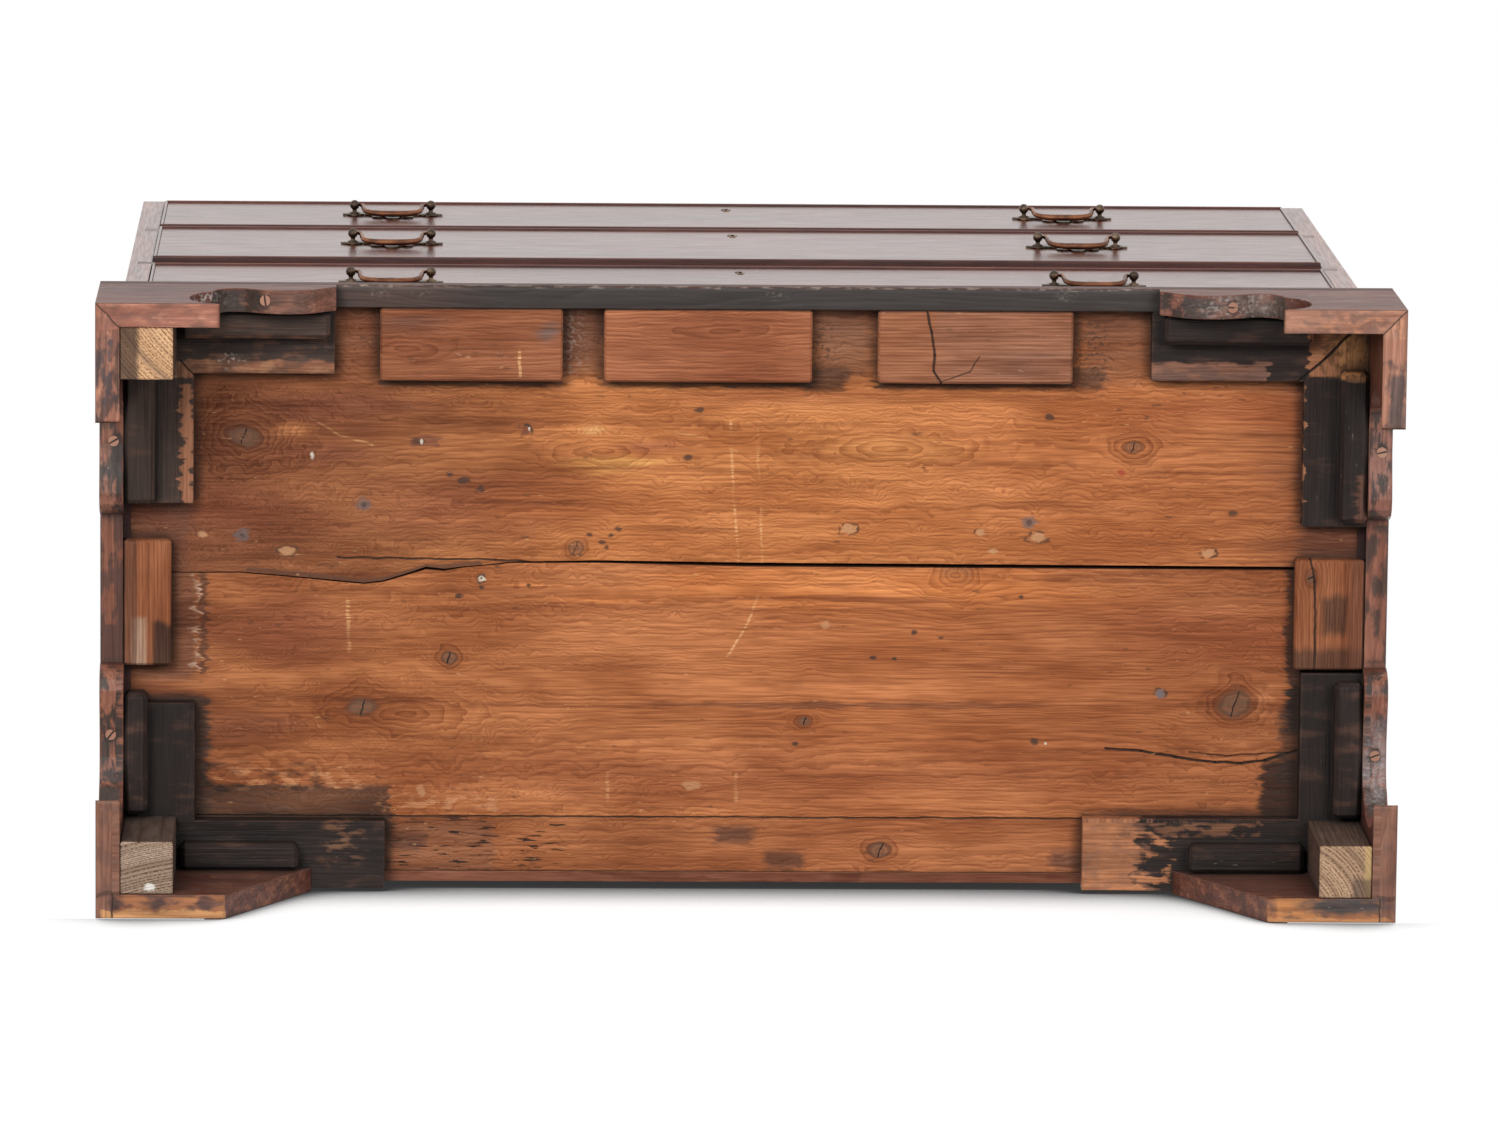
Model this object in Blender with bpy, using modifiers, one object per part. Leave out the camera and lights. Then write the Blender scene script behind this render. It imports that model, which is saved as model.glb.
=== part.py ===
"""Lower case of a Georgian mahogany chest on chest, standing upright on its bracket feet.

Three long graduated drawers, cockbeaded and dovetailed, run on dustboards between dovetailed rails.
The case stands on mitred bracket feet with glue blocks, corner plates and corner posts behind them.
Frame: metres, +Z up, drawers facing -Y, origin on the floor under the middle of the feet.
"""

import math

import bmesh
import bpy
from mathutils import Matrix, Vector

for old in list(bpy.data.objects):
    bpy.data.objects.remove(old)

# Fits
seat = 0.0003  # between pieces that are glued, housed or resting on each other
overrun = 0.004  # how far a cutter passes the face that it opens

# Overall
span_x = 1.140  # over the outer faces of the feet
span_y = 0.543
foot_height = 0.128  # floor to the underside of the base moulding
case_setback = 0.018  # case face behind the face of the feet, front and sides
back_setback = 0.006

# Case boards
packing_t = 0.018  # plates and glue blocks between the moulding and the case bottom
side_t = 0.020
bottom_t = 0.018
top_t = 0.024
rail_t = 0.018
rail_depth = 0.060
dustboard_t = 0.010
back_t = 0.009
side_lip = 0.008  # what a rebate leaves of the case side
housing = 0.006  # depth of the grooves that hold the dustboards
board_joint_y = -0.020  # open joint between the two wide bottom boards
board_joint = 0.0036  # at its widest
narrow_board = 0.050  # the last bottom board, set a little higher than the others
narrow_board_step = 0.0015

# Drawers, from the top down
drawer_names = ("upper", "middle", "lower")
upper_height = 0.178
middle_height = 0.214
lower_height = 0.228
upper_proud = 0.0025  # the upper two drawers stop a little short of the case face
middle_proud = 0.0035
drawer_gap = 0.001  # at the ends of a drawer
drawer_headroom = 0.0017  # above a drawer
drawer_back_room = 0.020  # behind a drawer that is shut
front_t = 0.020
lining_t = 0.010  # drawer sides and back
drawer_bottom_t = 0.008
bottom_raise = 0.012  # drawer bottom above the lower edge of the sides
groove = 0.005
back_drop = 0.008  # drawer back below the top edge of the sides
bead_t = 0.0032
bead_projection = 0.002
bead_root = 0.006
stop_size = Vector((0.030, 0.012, 0.006))
stop_x = 0.250

# Dovetails
lap = 0.005  # wood left in front of the tails in a drawer front
drawer_tails = 4
back_tails = 3
case_tails = 7
tail_flare = 0.003
pin_share = 0.36  # share of each pitch that the pin takes at the shoulder
rail_tail = 0.012
rail_tail_flare = 0.003

# Handles
handle_x = 0.315
post_spacing = 0.0715
plate_t = 0.0013
plate_width = 0.0935
plate_rise = 0.024
plate_drop = 0.036
post_reach = 0.0098  # drawer face to the centre of the ball
ball_r = 0.0046
collar_r = 0.0050
collar_t = 0.0010
neck_r = 0.0021
shank_r = 0.0020
shank_clearance = 0.0004
nut_r = 0.0060
nut_t = 0.0030
post_sides = 12
bail_drop = 0.0283
bail_r = 0.0031
pin_r = 0.0013
pin_hole_r = 0.0018
pin_depth = 0.0024

# Locks
lock_width = 0.060
lock_height = 0.044
lock_depth = 0.011
bolt_size = Vector((0.015, 0.005, 0.022))
bolt_travel = 0.008
bolt_clearance = 0.0004
keyhole_drop = 0.034  # keyhole below the top edge of the drawer
keyhole_r = 0.0024
keyhole_slot = Vector((0.0026, 0.009))

# Base moulding
moulding_width = 0.020
moulding_torus = 0.015  # height of the square lower member
moulding_top = 0.035  # height of the whole moulding
moulding_fillet = 0.0035
moulding_round = 0.004  # on the lower arris

# Feet
facing_t = 0.021
front_facing = 0.2075
side_facing = 0.205
rear_facing = 0.187
front_flat = 0.108
side_flat = 0.105
rear_flat = 0.112
bite_depth = 0.028
front_bite_half_height = 0.040
side_bite_half_height = 0.050
bite_end = math.radians(106)
curve_steps = 8

# Corner blocking
plate_board = 0.060  # width that the corner plates were sawn to, more or less
plate_overhang = 0.003  # how far the rear ones run past the case back
post_side = 0.046
post_lift = 0.002  # the posts stop short of the floor
strip_height = 0.018
strip_width = 0.022
strip_chamfer = 0.004
strip_margin = 0.004

# Glue blocks
block_chamfer = 0.002
block_width = 0.065

half_x = span_x / 2
half_y = span_y / 2
case_x = half_x - case_setback
case_front = case_setback - half_y
case_back = half_y - back_setback
case_z = foot_height + packing_t
inner_x = case_x - side_t
inner_back = case_back - back_t
floor_z = case_z + bottom_t
drawer_half = inner_x - drawer_gap
packing_x = half_x - moulding_width - seat
packing_front = moulding_width + seat - half_y

main = bpy.data.collections.new("chest_on_chest_lower_case")
helpers = bpy.data.collections.new("cutters")
bpy.context.scene.collection.children.link(main)
bpy.context.scene.collection.children.link(helpers)


def material(name, colour, roughness, metallic=0.0):
    made = bpy.data.materials.new(name)
    made.use_nodes = True
    made.diffuse_color = (*colour, 1)
    shader = made.node_tree.nodes["Principled BSDF"]
    shader.inputs["Base Color"].default_value = (*colour, 1)
    shader.inputs["Roughness"].default_value = roughness
    shader.inputs["Metallic"].default_value = metallic
    return made


mahogany = material("mahogany", (0.17, 0.055, 0.03), 0.35)
stained_mahogany = material("stained_mahogany", (0.10, 0.045, 0.03), 0.45)
pine = material("pine", (0.34, 0.15, 0.06), 0.7)
oak = material("oak", (0.42, 0.28, 0.14), 0.7)
brass = material("brass", (0.45, 0.28, 0.12), 0.3, 1.0)
iron = material("iron", (0.16, 0.14, 0.13), 0.5, 1.0)


def add(name, mesh, place, made_of):
    """An object from a mesh at a place. Without a material it is a cutter or a form for a union."""
    piece = bpy.data.objects.new(name, mesh)
    piece.matrix_world = place
    if made_of:
        main.objects.link(piece)
        piece.data.materials.append(made_of)
    else:
        helpers.objects.link(piece)
        piece.hide_render = True
        piece.display_type = "WIRE"
    return piece


def box(name, low, high, made_of=None, chamfer=0):
    """A board between two opposite corners, with its origin in its middle."""
    low, high = Vector(low), Vector(high)
    form = bmesh.new()
    bmesh.ops.create_cube(form, size=1)
    bmesh.ops.scale(form, vec=high - low, verts=form.verts)
    if chamfer:
        bmesh.ops.bevel(form, geom=form.edges[:], offset=chamfer, segments=1, affect="EDGES")
    mesh = bpy.data.meshes.new(name)
    form.to_mesh(mesh)
    form.free()
    return add(name, mesh, Matrix.Translation((low + high) / 2), made_of)


# A flat outline is drawn in one of these planes. Its third axis is the way that its thickness runs.
plan = Matrix(((1, 0, 0), (0, 1, 0), (0, 0, 1))).to_4x4()
elevation = Matrix(((1, 0, 0), (0, 0, -1), (0, 1, 0))).to_4x4()
profile = Matrix(((0, 0, 1), (1, 0, 0), (0, 1, 0))).to_4x4()


def flat(name, outlines, thickness, place, made_of=None):
    """A board cut to one or more closed outlines, half its thickness on each side of its plane."""
    curve = bpy.data.curves.new(name, "CURVE")
    curve.dimensions = "2D"
    curve.fill_mode = "BOTH"
    curve.extrude = thickness / 2
    for outline in outlines:
        spline = curve.splines.new("POLY")
        spline.points.add(len(outline) - 1)
        spline.use_cyclic_u = True
        for point, (u, v) in zip(spline.points, outline):
            point.co = (u, v, 0, 1)
    return meshed(name, curve, place, made_of)


def meshed(name, curve, place, made_of):
    """The curve as a closed mesh, so that it can be cut or joined."""
    guide = bpy.data.objects.new(name + "_guide", curve)
    bpy.context.scene.collection.objects.link(guide)
    graph = bpy.context.evaluated_depsgraph_get()
    mesh = bpy.data.meshes.new_from_object(guide.evaluated_get(graph))
    bpy.data.objects.remove(guide)
    form = bmesh.new()
    form.from_mesh(mesh)
    bmesh.ops.remove_doubles(form, verts=form.verts, dist=seat / 100)
    bmesh.ops.recalc_face_normals(form, faces=form.faces)
    form.to_mesh(mesh)
    form.free()
    mesh.name = name
    return add(name, mesh, place, made_of)


def boolean(piece, other, operation):
    step = piece.modifiers.new(other.name, "BOOLEAN")
    step.operation = operation
    step.solver = "EXACT"
    step.object = other


def cut(piece, *others):
    for other in others:
        boolean(piece, other, "DIFFERENCE")


def join(piece, *others):
    for other in others:
        boolean(piece, other, "UNION")


def frame_run(name, section, path, closed, place, made_of=None):
    """A moulding mitred round the corners of a path. Section points are (outwards, up)."""
    count = len(path)
    rings = []
    form = bmesh.new()
    for i, point in enumerate(path):
        point = Vector(point)
        before = Vector(path[i - 1]) if closed or i > 0 else None
        after = Vector(path[(i + 1) % count]) if closed or i < count - 1 else None
        normals = []
        for start, end in ((before, point), (point, after)):
            if start is not None and end is not None:
                along = (end - start).normalized()
                normals.append(Vector((along.y, -along.x)))
        mitre = normals[0] + normals[-1]
        mitre /= 1 + normals[0].dot(normals[-1])
        rings.append([form.verts.new((*(point + out * mitre), up)) for out, up in section])
    pairs = list(zip(rings, rings[1:]))
    if closed:
        pairs.append((rings[-1], rings[0]))
    else:
        form.faces.new(rings[0])
        form.faces.new(rings[-1])
    for first, second in pairs:
        for i in range(len(section)):
            form.faces.new((first[i - 1], first[i], second[i], second[i - 1]))
    bmesh.ops.recalc_face_normals(form, faces=form.faces)
    mesh = bpy.data.meshes.new(name)
    form.to_mesh(mesh)
    form.free()
    return add(name, mesh, place, made_of)


def arc(centre, radii, start, end):
    """Points along part of an ellipse, both ends included."""
    turns = [start + (end - start) * i / curve_steps for i in range(curve_steps + 1)]
    return [(centre[0] + radii[0] * math.cos(t), centre[1] + radii[1] * math.sin(t)) for t in turns]


def tails(count, low, high, grow=0.0):
    """For each tail between two heights: its foot and its root half widths round its middle."""
    pitch = (high - low) / count
    root = pitch * (1 - pin_share) / 2 - tail_flare / 2 + grow
    return [(low + pitch * (i + 1 / 2), root, root + tail_flare) for i in range(count)]


def tailed_edge(count, low, high, shoulder, tip):
    """Outline points up an edge that carries dovetails."""
    points = []
    for middle, root, foot in tails(count, low, high):
        points += [(shoulder, middle - root), (tip, middle - foot)]
        points += [(tip, middle + foot), (shoulder, middle + root)]
    return points


def sockets(count, low, high, shoulder, tip, through):
    """Outlines that cut the sockets for those dovetails, a seat wider all round."""
    way = math.copysign(1, tip - shoulder)
    slope = tail_flare / abs(tip - shoulder)
    start = shoulder - way * overrun
    end = tip + way * (overrun if through else seat)
    outlines = []
    for middle, root, _ in tails(count, low, high, seat):
        near = root - slope * abs(start - shoulder)
        far = root + slope * abs(end - shoulder)
        low_side = [(start, middle - near), (end, middle - far)]
        high_side = [(end, middle + far), (start, middle + near)]
        outlines.append(low_side + high_side)
    return outlines


def at_x(x):
    return Matrix.Translation((x, 0, 0)) @ profile


def at_y(y):
    return Matrix.Translation((0, y, 0)) @ elevation


def at_z(z):
    return Matrix.Translation((0, 0, z)) @ plan


# Heights of the drawers, worked out from the case bottom upwards
heights = dict(zip(drawer_names, (upper_height, middle_height, lower_height)))
drawer_low = {}
level = floor_z
for which in reversed(drawer_names):
    drawer_low[which] = level + seat
    level += seat + heights[which] + drawer_headroom + rail_t
top_z = level - rail_t
case_top = top_z + top_t
rail_top = {"upper": drawer_low["upper"] - seat, "lower": drawer_low["middle"] - seat}
proud = {"upper": upper_proud, "middle": middle_proud, "lower": 0.0}


def dovetailed_rail_outline(z, grow=0.0):
    """Front view of a divider rail with a dovetail at each end."""
    low, high = z - rail_t - grow, z + grow
    half = inner_x + rail_tail + grow
    slope = rail_tail_flare / rail_tail
    near = rail_tail_flare - slope * grow
    right = [(half, low), (half, high), (inner_x, high - near), (inner_x, high)]
    right_low = [(inner_x, low), (inner_x, low + near)]
    left = [(-x, z_) for x, z_ in reversed(right_low + right)]
    return right_low + right + left


def drawer_stops(which, z):
    """Two small blocks glued behind a drawer front, which stop the drawer as it closes."""
    face = case_front - proud[which] + front_t + seat
    made = []
    for side in (-1, 1):
        low = (side * stop_x - stop_size.x / 2, face, z - stop_size.z)
        high = (side * stop_x + stop_size.x / 2, face + stop_size.y, z + stop_size.z)
        made.append(box(f"{which}_stop", low, high))
    return made


def case():
    """The dovetailed case with its dividers, dustboards, bottom boards and back."""
    depth = (case_front, case_back)
    right_edge = tailed_edge(case_tails, *depth, inner_x, case_x)
    left_edge = [(-x, y) for x, y in reversed(right_edge)]
    corners = [(inner_x, case_front), (inner_x, case_back), (-inner_x, case_back), (-inner_x, case_front)]
    outline = [corners[0], *right_edge, corners[1], corners[2], *left_edge, corners[3]]
    flat("case_top", [outline], top_t, at_z(top_z + top_t / 2), mahogany)

    ends = sockets(case_tails, *depth, inner_x, case_x, True)
    ends += [[(-x, y) for x, y in end] for end in ends]
    top_cut = flat("case_top_sockets", ends, top_t + 2 * overrun, at_z(case_top + overrun - seat - top_t / 2))

    rebate_x = case_x - side_lip
    bottom_cut = box(
        "case_bottom_rebate",
        (-rebate_x, case_front - overrun, case_z - overrun),
        (rebate_x, case_back + overrun, floor_z + seat),
    )
    back_cut = box(
        "case_back_rebate",
        (-rebate_x, inner_back - seat, case_z - overrun),
        (rebate_x, case_back + overrun, top_z),
    )
    side_cuts = [top_cut, bottom_cut, back_cut]

    for name, z in rail_top.items():
        rail = flat(
            f"divider_rail_{name}",
            [dovetailed_rail_outline(z)],
            rail_depth,
            at_y(case_front + rail_depth / 2),
            mahogany,
        )
        above = "upper" if name == "upper" else "middle"
        join(rail, *drawer_stops(above, z))
        side_cuts.append(
            flat(
                f"divider_rail_{name}_sockets",
                [dovetailed_rail_outline(z, seat)],
                rail_depth + overrun,
                at_y(case_front + (rail_depth - overrun) / 2 + seat),
            )
        )
        start = case_front + rail_depth + seat
        low = (-inner_x - housing + seat, start, z - dustboard_t)
        high = (inner_x + housing - seat, inner_back - seat, z)
        box(f"dustboard_{name}", low, high, pine)
        side_cuts.append(
            box(
                f"dustboard_{name}_grooves",
                (-inner_x - housing, start - overrun, low[2] - seat),
                (inner_x + housing, case_back + overrun, z + seat),
            )
        )

    for side, name in ((-1, "left"), (1, "right")):
        low_x, high_x = sorted((side * inner_x, side * case_x))
        board = box(
            f"case_side_{name}",
            (low_x, case_front, case_z),
            (high_x, case_back, case_top),
            mahogany,
        )
        cut(board, *side_cuts)

    box(
        "case_back",
        (seat - rebate_x, inner_back, case_z),
        (rebate_x - seat, case_back, top_z - seat),
        pine,
    )
    bottom_boards(rebate_x - seat)


# The joint between the wide bottom boards, from left to right: a place along it as a share of half
# its length, how far it strays towards the back as a share of the narrow board, and how far it has
# opened as a share of its widest. At the left it follows a split in the rear board.
joint_shares = (
    (-1.00, 0.17, 0.30), (-0.82, 0.16, 0.30), (-0.74, 0.23, 0.33), (-0.66, 0.31, 0.36),
    (-0.62, 0.35, 0.36), (-0.59, 0.31, 0.40), (-0.55, 0.18, 0.50), (-0.52, 0.07, 0.70),
    (-0.49, 0.10, 0.55), (-0.46, 0.05, 0.30),
    (-0.42, 0.01, 0.30), (-0.38, -0.04, 0.35), (-0.24, -0.06, 0.65), (0.00, -0.02, 1.00),
    (1.00, 0.01, 0.85),
)


def bottom_boards(half):
    """Two wide boards and a narrow one glued behind them, in the rebates of the case sides."""
    edges = {"front": [], "rear": []}
    for along, stray, opened in joint_shares:
        middle = board_joint_y + stray * narrow_board
        edges["front"].append((along * half, middle - opened * board_joint / 2))
        edges["rear"].append((along * half, middle + opened * board_joint / 2))
    front_outline = [(-half, case_front), *edges["front"], (half, case_front)]
    middle_z = case_z + bottom_t / 2
    front_board = flat("bottom_board_front", [front_outline], bottom_t, at_z(middle_z), pine)
    join(front_board, *drawer_stops("lower", floor_z))

    end_y = inner_back - seat
    rear_outline = [(-half, end_y), *edges["rear"], (half, end_y)]
    rear_board = flat("bottom_board_rear", [rear_outline], bottom_t, at_z(middle_z), pine)
    step = box(
        "narrow_board_step",
        (-half - overrun, end_y - narrow_board, case_z - overrun),
        (half + overrun, end_y + overrun, case_z + narrow_board_step),
    )
    cut(rear_board, step)


def base_moulding():
    """Torus, ogee and fillet, mitred at the front corners and cut off flush with the back."""
    low = foot_height + seat
    face = case_setback
    shoulder = foot_height + moulding_torus
    high = foot_height + moulding_top
    fillet_z = high - moulding_fillet
    ogee_x = (face + moulding_fillet) / 2
    ogee_z = (shoulder + fillet_z) / 2
    swell = arc((ogee_x, shoulder), (face - ogee_x, ogee_z - shoulder), 0, math.pi / 2)
    hollow = arc((ogee_x, fillet_z), (ogee_x - moulding_fillet, fillet_z - ogee_z), -math.pi / 2, -math.pi)
    round_centre = (face - moulding_round, low + moulding_round)
    lower_arris = arc(round_centre, (moulding_round, moulding_round), -math.pi / 2, 0)[::2]
    section = [(case_setback - moulding_width, low), *lower_arris, *swell, *hollow[1:]]
    section += [(moulding_fillet, high), (seat, high), (seat, case_z - seat)]
    section += [(case_setback - moulding_width, case_z - seat)]
    path = [(-case_x, case_back), (-case_x, case_front), (case_x, case_front), (case_x, case_back)]
    frame_run("base_moulding", section, path, False, at_z(0), mahogany)


# A bracket from the cusp of its bite to its far end: shares of its run and of its climb to the
# moulding. The front ones have a lobe and a deep hollow sweep, the side ones were sawn shallower.
front_sweep_shares = (
    (0.01, 0.16), (0.05, 0.32), (0.11, 0.43), (0.18, 0.48), (0.26, 0.45), (0.34, 0.34), (0.43, 0.24),
    (0.53, 0.18), (0.64, 0.17), (0.74, 0.22), (0.83, 0.34), (0.91, 0.52), (0.97, 0.64), (1.00, 0.68),
)
side_sweep_shares = (
    (0.04, 0.20), (0.11, 0.37), (0.24, 0.47), (0.40, 0.48), (0.55, 0.40), (0.69, 0.28), (0.80, 0.23),
    (0.89, 0.31), (0.95, 0.50), (0.985, 0.78),
)


def facing_outline(flat_length, bite_half_height, sweep_shares, length):
    """Bracket facing seen from outside: foot, bite, cusp and the sweep up to the moulding."""
    bite = arc((flat_length, bite_half_height), (bite_depth, bite_half_height), math.radians(270), bite_end)
    cusp_x, cusp_z = bite[-1]
    run, climb = length - cusp_x, foot_height - cusp_z
    sweep = [(cusp_x + u * run, cusp_z + v * climb) for u, v in sweep_shares]
    return [(0, 0), *bite, *sweep, (length, foot_height), (0, foot_height)]


def rear_bracket_outline():
    return [(0, 0), (rear_flat, 0), (rear_facing, foot_height), (0, foot_height)]


def feet():
    """Each foot is two boards glued at the corner: bracket facings, and a plain bracket behind."""
    front_outline = facing_outline(front_flat, front_bite_half_height, front_sweep_shares, front_facing)
    side_outline = facing_outline(side_flat, side_bite_half_height, side_sweep_shares, side_facing)
    for end, outline in (("front", front_outline), ("rear", rear_bracket_outline())):
        face = -1 if end == "front" else 1
        for side, name in ((-1, "left"), (1, "right")):
            across = [(side * (half_x - s), z) for s, z in outline]
            along = [(face * (half_y - s), z) for s, z in side_outline]
            foot = flat(
                f"foot_{end}_{name}",
                [along],
                facing_t,
                at_x(side * (half_x - facing_t / 2)),
                stained_mahogany,
            )
            place = at_y(face * (half_y - facing_t / 2))
            join(foot, flat(f"foot_{end}_{name}_return", [across], facing_t, place))


def corner_blocking():
    """Mitred plates under the case corners, the glue strips in the brackets and the corner posts."""
    # The plate along the front or back, then the one along the side: its length as a share of that
    # side of the chest, and its width as a share of the board's
    plate_corner_shares = {
        "front_left": ((0.163, 0.98), (0.322, 1.03)),
        "front_right": ((0.169, 1.02), (0.352, 0.95)),
        "rear_left": ((0.203, 1.00), (0.305, 1.05)),
        "rear_right": ((0.217, 1.08), (0.362, 0.92)),
    }
    # The glue strips along the same two plates: width as a share of a strip's, then how far it
    # reaches from the corner as a share of the plate's length
    strip_shares = {
        "front_left": ((1.14, 0.98), (1.23, 0.99)),
        "front_right": ((1.20, 0.95), (1.14, 0.97)),
        "rear_left": ((1.10, 0.67), (0.95, 1.07)),
        "rear_right": ((1.18, 0.62), (1.14, 0.97)),
    }
    low, high = foot_height + seat, case_z - seat
    for name, (across, along) in plate_corner_shares.items():
        length_x, width_x = across[0] * span_x, across[1] * plate_board
        length_y, width_y = along[0] * span_y, along[1] * plate_board
        side = -1 if name.endswith("left") else 1
        face = -1 if name.startswith("front") else 1
        outer_x = side * packing_x
        outer_y = packing_front if face < 0 else case_back + plate_overhang
        end_x, end_y = outer_x - side * length_x, outer_y - face * length_y
        in_x, in_y = outer_x - side * width_y, outer_y - face * width_x
        outline = [(outer_x, outer_y), (end_x, outer_y), (end_x, in_y)]
        outline += [(in_x, in_y), (in_x, end_y), (outer_x, end_y)]
        plates = flat(f"corner_plates_{name}", [outline], high - low, at_z((low + high) / 2), pine)

        bracket_x, bracket_y = side * (half_x - facing_t - seat), face * (half_y - facing_t - seat)
        post_x, post_y = bracket_x - side * post_side, bracket_y - face * post_side
        (width_across, reach_across), (width_along, reach_along) = strip_shares[name]
        across_ends = (post_x - side * strip_margin, outer_x - side * reach_across * length_x)
        along_ends = (post_y - face * strip_margin, outer_y - face * reach_along * length_y)
        strips = (
            (across_ends, (bracket_y, bracket_y - face * width_across * strip_width)),
            ((bracket_x, bracket_x - side * width_along * strip_width), along_ends),
        )
        bottom = foot_height - strip_height
        for i, (xs, ys) in enumerate(strips):
            start = (min(xs), min(ys), bottom)
            end = (max(xs), max(ys), (low + high) / 2)
            join(plates, box(f"glue_strip_{name}_{i + 1}", start, end, chamfer=strip_chamfer))
        if name == "front_right":
            continue  # this post is lost
        box(
            f"corner_post_{name}",
            (min(bracket_x, post_x), min(bracket_y, post_y), post_lift),
            (max(bracket_x, post_x), max(bracket_y, post_y), foot_height - seat),
            oak,
            block_chamfer / 2,
        )


def glue_blocks():
    """Blocks that back the moulding between the feet, in place along the front and at each side."""
    low, high = foot_height + seat, case_z - seat
    # Where each front block starts and its length, as shares of the chest's width
    front_block_shares = {"left": (-0.284, 0.141), "middle": (-0.111, 0.161), "right": (0.101, 0.151)}
    for name, (start, length) in front_block_shares.items():
        box(
            f"front_glue_block_{name}",
            (start * span_x, packing_front, low),
            ((start + length) * span_x, packing_front + block_width, high),
            pine,
            block_chamfer,
        )
    # Where each side block starts and its length, as shares of the chest's depth, and its width as
    # a share of a front block's
    side_block_shares = {"left": (-0.079, 0.206, 0.65), "right": (-0.055, 0.182, 0.95)}
    for name, (start, length, width) in side_block_shares.items():
        outer = -packing_x if name == "left" else packing_x
        inner = outer - math.copysign(width * block_width, outer)
        box(
            f"side_glue_block_{name}",
            (min(outer, inner), start * span_y, low),
            (max(outer, inner), (start + length) * span_y, high),
            pine,
            block_chamfer,
        )


def turned_post(name, x, face, z):
    """Ball, neck, collar, shank and nut of one handle post, turned about an axis along Y."""
    neck_turn = -math.acos(neck_r / ball_r)
    ball = arc((0, post_reach), (ball_r, ball_r), math.pi / 2, neck_turn)
    foot = plate_t + seat
    collar = [(neck_r, foot + 2 * collar_t), (collar_r, foot + collar_t), (collar_r, seat + plate_t / 2)]
    shank = [(shank_r, seat + plate_t / 2), (shank_r, -front_t - seat), (nut_r, -front_t - seat)]
    nut = [(nut_r, -front_t - nut_t), (0, -front_t - nut_t)]
    points = [(0, post_reach + ball_r), *ball[1:], *collar, *shank, *nut]
    form = bmesh.new()
    made = [form.verts.new((r, 0, height)) for r, height in points]
    for first, second in zip(made, made[1:]):
        form.edges.new((first, second))
    mesh = bpy.data.meshes.new(name)
    form.to_mesh(mesh)
    form.free()
    place = Matrix.Translation((x, face, z)) @ Matrix.Rotation(math.pi / 2, 4, "X")
    post = add(name, mesh, place, None)
    turn = post.modifiers.new("turn", "SCREW")
    turn.steps = turn.render_steps = post_sides
    turn.use_merge_vertices = True
    turn.merge_threshold = seat / 10
    return post


# Half outline of the backplate from the top peak to the bottom drop: shares of half its width,
# then of its rise above the posts or, below zero, of its drop beneath them
plate_shares = (
    (0.00, 1.00), (0.07, 0.95), (0.15, 0.72), (0.25, 0.62), (0.36, 0.76), (0.47, 0.78),
    (0.56, 0.55), (0.63, 0.42), (0.75, 0.50), (0.87, 0.36), (0.94, 0.14), (1.00, 0.06),
    (1.00, -0.07), (0.91, -0.16), (0.80, -0.30), (0.67, -0.28), (0.58, -0.18), (0.49, -0.22),
    (0.41, -0.33), (0.41, -0.56), (0.30, -0.70), (0.17, -0.63), (0.13, -0.72), (0.10, -0.88),
    (0.00, -1.00),
)


def handle(which, name, x, z, face):
    """A shaped backplate with two turned posts, and the swan-neck bail that they carry."""
    half = []
    for u, v in plate_shares:
        half.append((u * plate_width / 2, v * (plate_rise if v > 0 else plate_drop)))
    outline = half + [(-u, v) for u, v in reversed(half[1:-1])]
    place = Matrix.Translation((x, face - seat - plate_t / 2, z)) @ elevation
    plate = flat(f"{which}_handle_{name}", [outline], plate_t, place, brass)
    axis_y = face - post_reach
    half_span = post_spacing / 2
    for side in (-1, 1):
        post_x = x + side * half_span
        join(plate, turned_post(f"{which}_handle_{name}_post", post_x, face, z))
    for side in (-1, 1):
        start = x + side * (half_span - ball_r - overrun)
        end = x + side * (half_span - ball_r + pin_depth + seat)
        cut(plate, rod(f"{which}_handle_{name}_pin_hole", (start, end), axis_y, z, pin_hole_r))
    bail(which, name, x, z, axis_y)


def rod(name, ends, y, z, radius):
    """A round cutter that lies along X."""
    form = bmesh.new()
    bmesh.ops.create_cone(
        form,
        cap_ends=True,
        segments=post_sides,
        radius1=radius,
        radius2=radius,
        depth=abs(ends[1] - ends[0]),
    )
    mesh = bpy.data.meshes.new(name)
    form.to_mesh(mesh)
    form.free()
    place = Matrix.Translation(((ends[0] + ends[1]) / 2, y, z)) @ Matrix.Rotation(math.pi / 2, 4, "Y")
    return add(name, mesh, place, None)


# Half of the bail's centre line from the ball to the middle: shares of half the span between the
# balls, of the drop, and its thickness as a share of the way from pin to full
bail_shares = (
    (0.985, 0.00, 0.30), (0.945, 0.01, 0.38), (0.905, 0.05, 0.42), (0.885, 0.14, 0.44), (0.88, 0.30, 0.46),
    (0.865, 0.48, 0.50), (0.82, 0.66, 0.58), (0.73, 0.81, 0.70), (0.59, 0.92, 0.84), (0.36, 0.985, 0.96),
    (0.00, 1.005, 1.00),
)


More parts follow.
